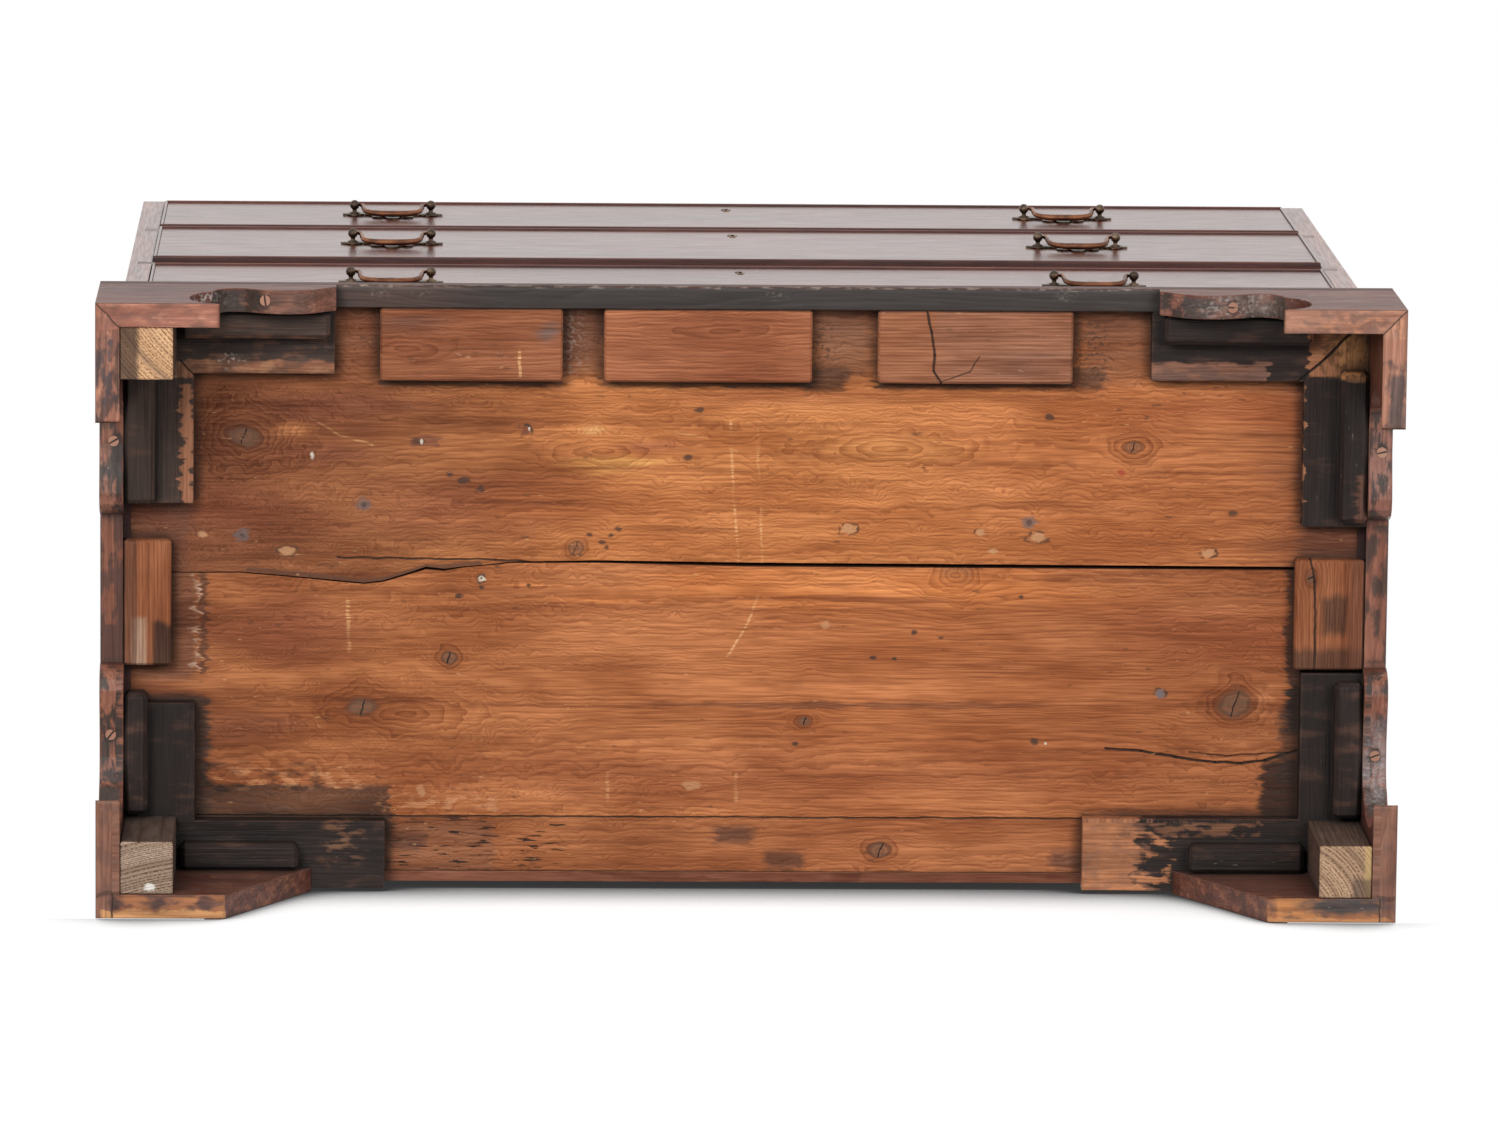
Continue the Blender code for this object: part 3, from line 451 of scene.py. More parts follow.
    def line(self, points, width, colour, strength=1.0, depth=0.0, broken=False):
        for start, end in zip(points, points[1:]):
            place = self.slack
            if len(start) == 2:
                flat = self.vector("MULTIPLY", place, (1, 1, 0))
                place = self.vector("ADD", flat, self.at((0, 0)))
            inputs = {"Start": self.at(start), "End": self.at(end), "Width": 0.001 * width}
            mask = self.use(thin_line, {"Place": place, **inputs})["Mask"]
            if broken:
                mask = self.times(self.times(mask, self.minus(1.0, self.fibre)), self.mottle)
            self.lay(mask, colour, strength)
            if depth:
                self.cut(mask, depth)

    def scratch(self, points, width, strength):
        self.line(points, width, (0.85, 0.5, 0.22), strength, broken=True)

    def edges(self, colour, reach=2, strength=0.7):
        made = self.use(worn_edge, {"Place": self.here, "Reach": 0.001 * reach})
        self.lay(made["Mask"], colour, strength)
        self.rounded = made["Normal"]

    def grime_and_shade(self, colour, reach=20, strength=0.7):
        # Dirt and painted shade in the hollows, kept off the faces that lie on the floor.
        mask = self.use(corner_grime_and_shade, {"Place": self.here, "Reach": 0.001 * reach})["Mask"]
        off_floor = self.fade(self.parts["Z"], 0.003, 0.02, 0.0, strength)
        self.lay(self.times(mask, off_floor), colour)

    def polish_and_shade_others(self, *directions):
        """Polish on the faces that look along these directions; bare planed wood on the others, darkened
        as painted shade.
        """
        normal, shows = self.node("NewGeometry")["Normal"], 0.0
        for direction in directions:
            along = self.vector("DOT_PRODUCT", normal, direction, out="Value")
            shows = self.math("MAXIMUM", shows, self.fade(along, 0.5, 0.8))
        self.polished = shows
        unpolished_and_shaded = self.minus(1.0, shows)
        # Painted shade: the faces that are not polished are darkened.
        self.lay(unpolished_and_shaded, (0.42, 0.3, 0.3), 1.0, "MULTIPLY")
        self.roughness = self.times_plus(unpolished_and_shaded, 0.35, self.roughness)

    def dress(self, *names, coat=0.0, coat_roughness=0.1):
        bump = {"Height": self.height, "Distance": 0.001 * self.relief, "Strength": 1.0}
        if self.rounded:
            bump["Normal"] = self.rounded
        self.feed(self.shader, {"Base Color": self.colour, "Roughness": self.roughness,
                                "Normal": self.node("Bump", bump)[0]})
        if coat:
            self.feed(self.shader, {"Coat Weight": self.times(self.polished, coat),
                                    "Coat Roughness": coat_roughness})
        for name in names:
            nodes[name].material_slots[0].material = self.made


black_stain = (0.028, 0.019, 0.016)
brown_stain = (0.066, 0.038, 0.028)
old_white = (0.6, 0.52, 0.42)
dark_spot = (0.05, 0.03, 0.022)
grey_stain = (0.13, 0.11, 0.11)

front_board_tones = (
    (-540, (0.22, 0.08, 0.038)), (-400, (0.33, 0.12, 0.05)), (-280, (0.42, 0.16, 0.06)),
    (-120, (0.67, 0.255, 0.086)), (80, (0.75, 0.3, 0.102)), (300, (0.67, 0.245, 0.087)),
    (460, (0.56, 0.2, 0.072)), (540, (0.28, 0.1, 0.047)),
)
front_board_knots = (
    ((-443.7, -134), 8.5, 45, 1.35), ((-150, -35.1), 6.5, 13, 0.9),
    ((343, -127.7), 4.8, 17, 1.3),
)
front_board_figures = (((128, -125), 21, 5.0), ((-127, -122), 14, 4.0))
board = Wood("front bottom board", front_board_tones, seed=3.1, spacing=4.4, waver=45,
             knots=front_board_knots, figures=front_board_figures)
board.cloud((0, -232), (750, 50), (0.2, 0.09, 0.055), 0.75)
board.cloud((-345, -163), (110, 22), (0.17, 0.058, 0.03), 0.8)
board.cloud((-250, -72), (150, 42), (0.24, 0.08, 0.038), 0.75)
board.cloud((-460, -70), (100, 30), (0.22, 0.075, 0.036), 0.6)
board.cloud((-360, -118), (60, 14), (0.2, 0.07, 0.036), 0.7)
board.cloud((440, -160), (120, 30), (0.36, 0.12, 0.048), 0.6)
board.cloud((50, -170), (200, 12), (0.36, 0.13, 0.055), 0.5)
board.cloud((-400, -140), (22, 8), (0.5, 0.22, 0.09), 0.8)
board.cloud((-137, -140), (18, 9), (0.56, 0.3, 0.12), 0.8)
board.cloud((-118, -109), (55, 10), (0.62, 0.33, 0.11), 0.9)
board.cloud((125, -125), (90, 18), (0.6, 0.28, 0.1), 0.6)
board.cloud((0, -60), (300, 50), (0.52, 0.2, 0.07), 0.5)
board.cloud((-85, -127), (50, 8), (0.3, 0.1, 0.05), 0.6)
for spot in ((-338, -73), (-445.6, -45.5), (252.1, -60.5)):
    board.spot(spot, (9, 7), grey_stain, strength=0.7)
    board.spot(spot, (3, 3), dark_spot, strength=0.6)
pale_spots = ((-480, -46, 6), (-405, -31, 8), (91, -53.4, 8), (209, -50.4, 6),
              (258.6, -46.1, 9), (411.4, -33.3, 7), (219, -34, 5))
for x, y, size in pale_spots:
    board.spot((x, y), (size, 0.62 * size), (0.52, 0.28, 0.14), rim=(0.1, 0.045, 0.025), strength=0.75)
for x, y, size in ((-41, -159, 5), (-51.4, -117, 5), (268, -154.5, 5), (433, -69.5, 5),
                   (-119, -46, 4), (-127, -40, 4), (-112, -52, 4), (-122, -35, 3),
                   (-137, -47, 4), (-250, -96, 6), (-262, -100, 4), (-235, -88, 5)):
    board.spot((x, y), (size, 0.7 * size), dark_spot)
board.spot((-194.6, -139.6), (6, 5.5), (0.15, 0.045, 0.03), rim=dark_spot)
board.spot((-191.5, -141), (1.4, 2.5), old_white, strength=0.9)
board.spot((-384, -118), (2.2, 4), old_white, strength=0.9)
board.spot((333.7, -105), (4, 3), (0.36, 0.05, 0.03))
board.patch((-284, -130), (12, 3.5), (0.15, 0.055, 0.035), 2, 0.7)
board.spot((-290, -130), (7, 4), dark_spot, strength=0.7)
board.spot((-287, -130), (1.6, 3.2), old_white, strength=0.9)
board.scratch(((-14, -149), (-11, -85), (-6, -25)), 1.8, 0.9)
board.scratch(((10, -142), (13, -80), (16, -16)), 1.6, 0.8)
board.scratch(((-63, -140), (-35, -134), (-8, -122)), 1.4, 0.9)
board.scratch(((-385, -150), (-360, -136), (-330, -127)), 1.4, 0.8)
board.patch((70, -187.5), (16, 7), black_stain, 8, 0.75)
board.patch((299, -188.5), (14, 6), black_stain, 8, 0.7)
board.patch((-145, -225), (12, 30), (0.1, 0.05, 0.035), 12, 0.6)
board.patch((86, -225), (16, 30), (0.12, 0.06, 0.04), 14, 0.6)
board.patch((325, -222), (20, 30), (0.12, 0.06, 0.04), 14, 0.5)
for side in (-1, 1):
    board.patch((side * 525, -100), (26, 160), (0.14, 0.055, 0.032), 12, 0.75)
board.line(((-361, -25.6), (-222, -24), (-110, -16.4)), 1.2, (0.03, 0.016, 0.01), 0.9, 3.0)
split_edge = ((-440, -15), (-385, -10), (-342, -4.2), (-318, -7.2), (-282, -17.5), (-235, -20.8))
board.line(split_edge, 3, (0.11, 0.046, 0.026), 0.85)
for x, reach in ((-243.4, 80), (-35, 92), (201, 86)):
    board.patch((x, -183.5), (reach, 2.2), (0.035, 0.022, 0.016), 4, 0.95, streaky=0.35)
board.flecks((0.72, 0.42, 0.2), 0.35)
board.flecks((0.08, 0.035, 0.02), 0.55, 190, 0.7)
board.dust((-159, -218), (20, 45), 0.55, (0.36, 0.29, 0.24))
board.dust((66, -213), (22, 45), 0.8, (0.07, 0.038, 0.025))
board.dust((305, -212), (28, 50), 0.85, (0.06, 0.032, 0.02))
board.cloud((-500, -100), (20, 100), (0.1, 0.05, 0.035), 0.5)
board.grime_and_shade((0.035, 0.018, 0.012), 12, 0.85)
board.dress("bottom_board_front")

rear_board_tones = (
    (-540, (0.3, 0.105, 0.046)), (-420, (0.49, 0.18, 0.066)), (-280, (0.53, 0.195, 0.071)),
    (-100, (0.6, 0.225, 0.084)), (120, (0.62, 0.222, 0.08)), (340, (0.54, 0.195, 0.073)),
    (540, (0.43, 0.15, 0.058)),
)
rear_board_knots = (
    ((-261.7, 64.7), 6, 14, 1.2), ((-338, 108.5), 7, 26, 1.7), ((187, -12), 10, 19, 1.5),
    ((54.3, 120.1), 4, 10, 1.3), ((438, 102), 11.5, 27, 1.15), ((123, 237.1), 6, 12, 1.5),
)
board = Wood("rear bottom boards", rear_board_tones, seed=7.7, spacing=4.8, waver=50,
             knots=rear_board_knots, figures=(((-300, 115), 24, 3.4),))
board.cloud((100, -2), (300, 24), (0.62, 0.24, 0.08), 0.9)
board.cloud((-395, 36), (90, 45), (0.25, 0.085, 0.04), 0.8)
board.cloud((0, 170), (500, 35), (0.36, 0.13, 0.055), 0.6)
board.cloud((420, 40), (120, 40), (0.34, 0.115, 0.05), 0.6)
board.cloud((462, 102), (18, 18), (0.52, 0.22, 0.1), 0.8)
board.cloud((83.3, 105.2), (250, 4), (0.16, 0.06, 0.03), 0.8)
board.cloud((-437, 125), (60, 16), (0.22, 0.08, 0.04), 0.7)
narrow_board_from = 207
board.patch((0, 235), (600, 27.5), (0.88, 0.88, 0.92), 1.5, 1.0, "MULTIPLY")
board.patch((-270, 235), (45, 20), (0.19, 0.085, 0.05), 12, 0.8, streaky=0.5)
for spot in ((37.2, 245.6), (-7.6, 223.3), (292, 245), (-300, 230)):
    board.patch(spot, (12, 3), (0.1, 0.045, 0.03), 10, 0.8)
board.line(((-600, narrow_board_from), (600, narrow_board_from)), 1.3, (0.05, 0.025, 0.016), 0.8, 2.0)
for x, y, size in ((46.7, 140, 3), (113.4, 62, 4), (133.9, 63.7, 3.5), (151.1, 39.3, 4),
                   (175.2, 44.6, 3), (245.4, 7.2, 3), (259.4, 136.3, 5), (-192, -1.5, 3),
                   (-253, 8.7, 4), (-233, 1, 3)):
    board.spot((x, y), (size, 0.7 * size), dark_spot, strength=0.85)
board.spot((371.2, 93.3), (5.5, 5), (0.16, 0.13, 0.13), rim=(0.05, 0.035, 0.03), strength=1.0)
board.spot((269.2, 138.9), (1.8, 1.8), old_white, strength=1.0)
board.spot((-232.9, -7.5), (4, 4), old_white, rim=(0.08, 0.05, 0.035), strength=1.0)
board.spot((-232.9, -7.5), (1.8, 1.8), dark_spot, strength=1.0)
for x, y, across, down in ((72.1, 33.3, 6, 4), (-286, 184, 5, 6), (-45.7, 178.3, 10, 5)):
    board.spot((x, y), (across, down), (0.62, 0.36, 0.19), strength=0.35)
board.scratch(((13, 2), (2, 35), (-15, 61)), 1.6, 0.9)
board.scratch(((-120.4, 167), (-120, 192)), 2.2, 0.8)
board.scratch(((-6, 169), (-5.6, 192)), 2.2, 0.8)
board.scratch(((-351.3, 12.8), (-350.5, 58)), 2.4, 0.7)
crack = (0.02, 0.012, 0.009)
board.line(((323.4, 143.2), (354.5, 145.7), (385.7, 151), (421.2, 155.4), (443.4, 156.2), (465.5, 153.3),
            (496.4, 144.2)), 1.5, crack, 0.95, 5.0)
board.line(((398, 146.5), (430, 149.5), (486, 146.5)), 0.9, crack, 0.7, 3.0)
board.blotch((-486, 34), (2.2, 44), old_white, 160, 0.6, 0.45, 2)
board.patch((-479.5, 34), (1.5, 45), (0.09, 0.04, 0.025), 3, 0.8)
board.blotch((-510, 34), (22, 50), (0.3, 0.12, 0.06), 90, 0.6, 0.6)
board.patch((-525, 155), (47, 52), brown_stain, 8)
board.patch((-430, 225), (115, 43), brown_stain, 6, streaky=0.35)
board.blotch((-400, 173), (65, 6), (0.55, 0.28, 0.14), 110, 0.35, 0.65, 6)
board.blotch((-270, 196), (50, 5), (0.52, 0.27, 0.14), 110, 0.35, 0.6, 6)
board.blotch((-430, 174), (50, 12), black_stain, 90, 0.35, 0.7, 6)
fissures = board.fade(board.noise(board.here, (45, 420, 60), 3.0), 0.6, 0.66)
fissures = board.times(fissures, board.inside((-235, 232), (70, 16), 20))
board.lay(fissures, (0.03, 0.015, 0.01))
board.cut(fissures, 4.0)
board.flecks((0.72, 0.42, 0.2), 0.35)
board.flecks((0.08, 0.035, 0.02), 0.55, 190, 0.7)
board.patch((524, 190), (58, 34), (0.015, 0.011, 0.01), 8, streaky=0.12)
board.patch((530, 140), (48, 30), black_stain, 10, streaky=0.35)
board.patch((520, 95), (32, 30), black_stain, 8)
board.patch((486.5, 27), (2.5, 45), (0.07, 0.04, 0.03), 4, 0.8)
for side in (-1, 1):
    board.patch((side * 522, 20), (30, 60), (0.13, 0.055, 0.032), 10, 0.75)
board.grime_and_shade((0.035, 0.018, 0.012), 12, 0.85)
board.dress("bottom_board_rear")

# Case: dovetailed sides, top and divider rails of mahogany, polished where they show. The dustboards
# and the back are plain pine boards.
polish = dict(roughness=0.26, relief=0.02, late=(0.5, 0.42, 0.4), fibre_share=0.5,
              mottle=(0.8, 0.74, 0.72), gloss=0.5, streak_share=0.45, flame_share=0.3)


half_x, half_y = cad_box[1][:2]


def mahogany(name, grain, seed, tone, **other):
    made = Wood(name, tone, grain, seed, 11, 90, **{**polish, **other})
    figure = made.noise(made.grain, (2.2, 26, 9), 4.0)
    made.lay(made.fade(figure, 0.42, 0.72), (0.6, 0.48, 0.46), 1.0, "MULTIPLY")
    ribbons = made.noise(made.grain, (4, 240, 90), 4.0)
    made.lay(made.fade(ribbons, 0.44, 0.66), (0.62, 0.5, 0.48), 0.7, "MULTIPLY")
    pores = made.noise(made.grain, (70, 1500, 1500), 1.0)
    made.lay(made.fade(pores, 0.62, 0.72), (0.3, 0.22, 0.2), 1.0, "MULTIPLY")
    return made


def past_mitre(piece):
    """1 on a corner's side leg, 0 on its front leg."""
    from_side = piece.minus(half_x, piece.math("ABSOLUTE", piece.parts["X"]))
    return piece.math("LESS_THAN", from_side, piece.plus(half_y, piece.parts["Y"]))


for index, name in enumerate(("case_side_left", "case_side_right")):
    side = mahogany(name, "zy", 2.3 + index, (0.25, 0.072, 0.034))
    side.edges((0.3, 0.12, 0.07), 2.5, 0.5)
    side.grime_and_shade((0.03, 0.018, 0.014), 20, 0.6)
    side.polish_and_shade_others((2 * index - 1, 0, 0), (0, -1, 0))
    side.dress(name, coat=0.4, coat_roughness=0.2)
top = mahogany("case top", "xy", 5.9, (0.2, 0.07, 0.036), roughness=0.55)
top.edges((0.3, 0.13, 0.07), 2.5, 0.5)
top.dress("case_top")
for index, name in enumerate(("divider_rail_upper", "divider_rail_lower")):
    rail = mahogany(name, "xz", 8.1 + index, (0.17, 0.05, 0.029))
    rail.edges((0.22, 0.09, 0.06), 1, 0.5)
    rail.dress(name)
for index, name in enumerate(("dustboard_upper", "dustboard_lower")):
    shelf = Wood(name, (0.4, 0.2, 0.1), "xy", 11.0 + index, 7, 90)
    shelf.grime_and_shade((0.1, 0.06, 0.04), 30, 0.6)
    shelf.dress(name)
back_knots = (
    ((-310, 265.5, 620), 11, 30, 1.2), ((220, 265.5, 400), 9, 24, 1.3), ((20, 265.5, 740), 6, 16, 1.3),
)
back = Wood("case back", (0.3, 0.125, 0.06), "xz", 14.2, 8, 100, tear=(20, 6, 6), knots=back_knots)
for seam_z in (372, 598):
    back.line(((-600, 265.5, seam_z), (600, 265.5, seam_z)), 1.4, (0.03, 0.016, 0.012), 0.9, 4.0)
back.patch((0, 262, 150), (600, 20, 6), (0.16, 0.055, 0.035), 6, 0.7)
back.grime_and_shade((0.06, 0.03, 0.02), 20, 0.7)
back.edges((0.42, 0.2, 0.1), 1.5, 0.5)
back.dress("case_back")

# Base moulding: a mahogany moulding glued round the front and sides, mitred at the front corners.
# It is stained nearly black underneath, with dust in its grain.
foot_black = (0.04, 0.028, 0.023)
moulding = mahogany("base moulding", "xy", 21.0, (0.085, 0.036, 0.025), roughness=0.45, gloss=0.35,
                    tear=(20, 4, 4), turned=past_mitre, surface=(128, 1.2))
moulding.patch((0, -262), (600, 20), (0.032, 0.027, 0.025), 1, 0.97)
moulding.cloud((-340, -262), (100, 20, 10), (0.075, 0.04, 0.03), 0.6)
moulding.cloud((60, -262), (250, 8, 10), (0.036, 0.032, 0.032), 0.5)
moulding.blotch((0, -270.6, 128.5), (360, 0.4, 3), (0.27, 0.22, 0.19), 170, 0.4, 0.45, 1.2)
for x in (-325, -285, 25, 280):
    moulding.dust((x, -264), (12, 6, 10), 0.3, (0.26, 0.22, 0.19))
moulding.patch((-560, -10), (20, 90), (0.082, 0.038, 0.028), 1, 0.95)
moulding.patch((560, -10), (20, 90), (0.22, 0.088, 0.055), 1, 0.95)
moulding.blotch((-560, -20), (12, 50, 3), (0.2, 0.075, 0.042), 70, 0.45, 0.8)
moulding.blotch((560, 0), (12, 60, 3), foot_black, 80, 0.45, 0.85)
moulding.edges((0.2, 0.085, 0.055), 1.6, 0.6)
moulding.grime_and_shade((0.02, 0.014, 0.012), 20, 0.7)
moulding.dress("base_moulding")

# Bracket feet: mitred mahogany facings, polished outside. Their undersides are stained black and have
# worn bare where the chest was dragged.
sole = (0, 1.5)
joint_dark = (0.03, 0.015, 0.01)
seam = 555.5
skin = 0.0005


def bracket_foot(name, seed, turned):
    return mahogany(name, "xy", seed, (0.17, 0.06, 0.038), roughness=0.4, gloss=0.45, tear=(12, 12, 6),
                    tear_stretch=(60, 60, 60), turned=turned, surface=sole)


def finish_foot(foot, name, clean, joint, worn, screws, screw_pocket_shade):
    """The joint's line, clean polished outer faces, worn edges, dirt, painted shade in the hollows, and
    painted shade round each screw for the hole it sits in.
    """
    foot.line(joint[0], joint[1], joint_dark, 0.85, 3.0)
    low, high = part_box(name)
    outside = (foot.math("GREATER_THAN", foot.math("ABSOLUTE", foot.parts[axis]), reach - skin)
               for axis, reach in (("X", half_x), ("Y", max(-low.y, high.y))))
    foot.lay(foot.math("MAXIMUM", *outside), clean)
    foot.edges(worn, 2, 0.6)
    foot.flecks()
    foot.grime_and_shade((0.025, 0.016, 0.013), 20, 0.6)
    # Painted shade: a dark disc round each screw head stands in for the hole it is sunk in.
    for x, y, radius in screws:
        foot.spot((x, y, 100), (radius, radius, 1000), (0.022, 0.015, 0.012), strength=screw_pocket_shade)
    foot.dress(name)


def past_seam(piece):
    """1 on a rear corner's side leg, into which the back bracket is lapped."""
    return piece.math("GREATER_THAN", piece.math("ABSOLUTE", piece.parts["X"]), 0.001 * seam)


for side, name in ((-1, "foot_front_left"), (1, "foot_front_right")):
    foot = bracket_foot(name, 31.0 + side, past_mitre)
    clean = foot.colour
    foot.patch((side * 415, -260, 85), (55, 8.5, 50), foot_black, 2, 0.95)
    foot.patch((side * 560, -115, 85), (8.5, 50, 50), foot_black, 2, 0.95)
    foot.patch((side * 525, -249.5, 60), (30, 1, 70), (0.16, 0.06, 0.04), 2, 0.8)
    front_sole = (0.3, 0.125, 0.085) if side < 0 else (0.37, 0.188, 0.124)
    foot.patch((side * 515, -261), (60, 20), front_sole, 1)
    foot.blotch((side * 515, -261), (60, 20), (0.16, 0.08, 0.06), 90, 0.35, 0.6)
    foot.blotch((side * 515, -261), (60, 20), (0.5, 0.24, 0.15), 150, 0.2, 0.35)
    if side < 0:
        foot.patch((-560, -215), (20, 33), (0.22, 0.1, 0.068), 2)
        foot.patch((-560, -175), (20, 12), (0.12, 0.065, 0.05), 4, 0.9)
        foot.blotch((-560, -205), (20, 40), (0.42, 0.19, 0.12), 90, 0.4, 0.75)
        foot.blotch((-560, -200), (20, 40), (0.05, 0.045, 0.05), 110, 0.45, 0.85)
        foot.patch((-549, -210), (2.5, 25), foot_black, 2, 0.7)
        foot.patch((-372, -256.5, 120), (10, 12, 20), (0.17, 0.07, 0.046), 8, 0.8, streaky=0.5)
        foot.patch((-395, -262, 100), (28, 12, 30), (0.15, 0.066, 0.043), 12, 0.85, streaky=0.5)
        foot.blotch((-400, -262, 90), (45, 12, 45), (0.24, 0.105, 0.066), 80, 0.3, 0.5)
        foot.blotch((-560, -120, 100), (12, 50, 30), (0.26, 0.105, 0.065), 70, 0.4, 0.75)
        foot.dust((-468, -262, 50), (30, 20, 50), 0.85)
        foot.dust((-462, -262, 60), (24, 20, 50), 0.7, (0.36, 0.33, 0.31))
    else:
        foot.blotch((500, -261), (50, 12), (0.13, 0.09, 0.08), 130, 0.4, 0.5)
        foot.blotch((530, -255), (40, 8), (0.55, 0.26, 0.13), 150, 0.3, 0.5)
        foot.patch((560, -205), (20, 40), (0.34, 0.16, 0.105), 2)
        foot.patch((562, -190), (4, 22), (0.06, 0.05, 0.05), 5, 0.8)
        foot.blotch((556, -195), (20, 30), (0.08, 0.055, 0.05), 110, 0.5, 0.75)
        foot.blotch((410, -262, 90), (50, 12, 45), (0.22, 0.09, 0.06), 80, 0.4, 0.7)
        foot.cloud((430, -262, 100), (50, 20, 50), (0.17, 0.12, 0.1), 0.7)
        foot.blotch((560, -110, 100), (12, 50, 30), (0.24, 0.1, 0.07), 70, 0.5, 0.75)
        foot.dust((430, -262, 90), (50, 20, 50), 0.55, (0.42, 0.37, 0.35))
    mitre = ((side * 570, -271.5, 0), (side * 549, -250.5, 0))
    screws = ((side * 424.5, -261.2, 7.2), (side * 559, -131.5, 7.2))
    finish_foot(foot, name, clean, (mitre, 1.1), (0.36, 0.16, 0.1), screws, 0.7)
for side, name in ((-1, "foot_rear_left"), (1, "foot_rear_right")):
    foot = bracket_foot(name, 37.0 + side, past_seam)
    clean = foot.colour
    foot.patch((side * 560, 130, 85), (8.5, 60, 50), foot_black, 2, 0.95)
    foot.blotch((side * 560, 120, 100), (12, 50, 40), (0.26, 0.1, 0.06), 70, 0.45, 0.75)
    foot.patch((side * 560, 220), (20, 60), (0.215, 0.103, 0.068), 1)
    foot.blotch((side * 560, 220), (20, 60), (0.13, 0.07, 0.055), 90, 0.4, 0.6)
    foot.patch((side * 505, 262), (50, 12), (0.3, 0.125, 0.055), 1)
    foot.patch((side * 425, 262, 60), (45, 12, 56), (0.12, 0.047, 0.032), 4, 0.85, streaky=0.3)
    foot.blotch((side * 425, 262, 60), (45, 12, 56), (0.24, 0.1, 0.055), 110, 0.35, 0.6)
    foot.blotch((side * 425, 262, 60), (45, 12, 56), (0.05, 0.03, 0.024), 80, 0.35, 0.6)
    foot.patch((side * 480, 249.5, 60), (100, 1, 70), (0.08, 0.038, 0.028), 2, 0.8)
    if side < 0:
        foot.patch((-505, 268.5), (60, 3.5), (0.5, 0.26, 0.11), 1.5, 0.95)
        for x, reach in ((-553, 5), (-515, 9), (-475, 5)):
            foot.cloud((x, 258), (2 * reach, 10, 10), (0.07, 0.038, 0.032), 1.3)
        foot.blotch((-505, 258), (50, 6), (0.1, 0.05, 0.04), 110, 0.35, 0.8)
    else:
        foot.patch((485, 262), (18, 12), (0.46, 0.2, 0.07), 4, 0.9)
        foot.cloud((530, 257), (60, 10, 10), (0.06, 0.05, 0.048), 1.5)
        foot.blotch((510, 260), (50, 10), (0.08, 0.055, 0.05), 110, 0.4, 0.7)
        foot.patch((505, 269.8), (60, 1.6), (0.46, 0.22, 0.09), 1, 0.7)
        foot.cloud((560, 145, 100), (20, 45, 50), (0.2, 0.17, 0.17), 0.9)
        foot.dust((560, 150, 100), (20, 50, 50), 0.45, (0.45, 0.41, 0.42))
    lap = ((side * seam, 250.5, 0), (side * seam, 271.5, 0))
    screws = ((side * 560, 128.5 if side < 0 else 143.1, 8.5),)
    finish_foot(foot, name, clean, (lap, 1.2), (0.34, 0.16, 0.1), screws, 0.85)

# Corner plates: two pine plates and two chamfered glue strips in each corner, all brushed black. The
# brush missed their inner edges, which show the bare wood.
worn_black = (0.064, 0.04, 0.031)
deep_black = (0.027, 0.0165, 0.0135)
bare_brown = (0.27, 0.112, 0.06)
rear_plates_from = 0.2075


def ahead_of_rear_plate(piece):
    return piece.math("LESS_THAN", piece.parts["Y"], rear_plates_from)


def blackened(name, seed, turned, black):
    made = Wood(name, black, "xy", seed, 6, 50, late_share=0.4, fibre_share=0.5, mottle=(0.6, 0.6, 0.6),
                roughness=0.58, gloss=0.28, relief=0.4, tear=(30, 12, 6), tear_stretch=(50, 150, 60),
                turned=turned)
    rubbed = made.noise(made.here, (30, 90, 60), 4.0)
    made.lay(made.fade(rubbed, 0.52, 0.75), made.grained((0.11, 0.052, 0.035)), 0.45)
    return made


def finish_plates(plates, name):
    plates.edges((0.2, 0.09, 0.06), 2, 0.5)
    plates.flecks((0.36, 0.3, 0.25), 0.35, 260, 0.75)
    plates.grime_and_shade((0.01, 0.008, 0.007), 16, 0.85)
    plates.dress(name)


plates = blackened("front left plates", 41.0, past_mitre, worn_black)
plates.patch((-430, -196.5), (75, 6), bare_brown, 3, streaky=0.3)
plates.blotch((-430, -196.5), (75, 6), (0.38, 0.19, 0.1), 110, 0.3, 0.6)
plates.blotch((-450, -200), (60, 6), (0.09, 0.05, 0.035), 70, 0.4, 0.7)
plates.dust((-455, -203), (15, 8), 0.7, (0.52, 0.45, 0.38))
plates.patch((-492.5, -125), (4.5, 55), (0.27, 0.115, 0.06), 3, 0.95)
plates.blotch((-430, -215), (70, 12), (0.17, 0.075, 0.045), 90, 0.3, 0.6)
plates.line(((-500, -204), (-487, -190)), 1, (0.012, 0.008, 0.006), 0.9, 3.0)
finish_plates(plates, "corner_plates_front_left")
plates = blackened("front right plates", 43.0, past_mitre, deep_black)
plates.patch((405, -197.5), (55, 7), (0.24, 0.11, 0.07), 3, 0.95, streaky=0.25)
plates.blotch((405, -197.5), (55, 6), (0.1, 0.055, 0.045), 70, 0.4, 0.7)
plates.patch((525, -223), (27, 26), (0.36, 0.155, 0.075), 3, 0.95)
plates.patch((537, -213), (12, 16), (0.47, 0.23, 0.09), 6, 0.8)
plates.blotch((530, -213), (18, 18), (0.14, 0.065, 0.03), 190, 0.4, 0.8)
plates.patch((489, -130), (1.2, 60), (0.34, 0.16, 0.08), 2, 0.9)
plates.patch((546, -85), (5, 20), (0.2, 0.085, 0.055), 6, 0.6)
plates.line(((487, -190), (512, -212), (549.5, -251)), 1.6, (0.012, 0.008, 0.006), 0.95, 5.0)
finish_plates(plates, "corner_plates_front_right")
plates = blackened("rear left plates", 45.0, ahead_of_rear_plate, deep_black)
plates.blotch((-355, 225), (12, 18), (0.2, 0.095, 0.05), 110, 0.4, 0.6, 10)
finish_plates(plates, "corner_plates_rear_left")
plates = blackened("rear right plates", 47.0, ahead_of_rear_plate, deep_black)
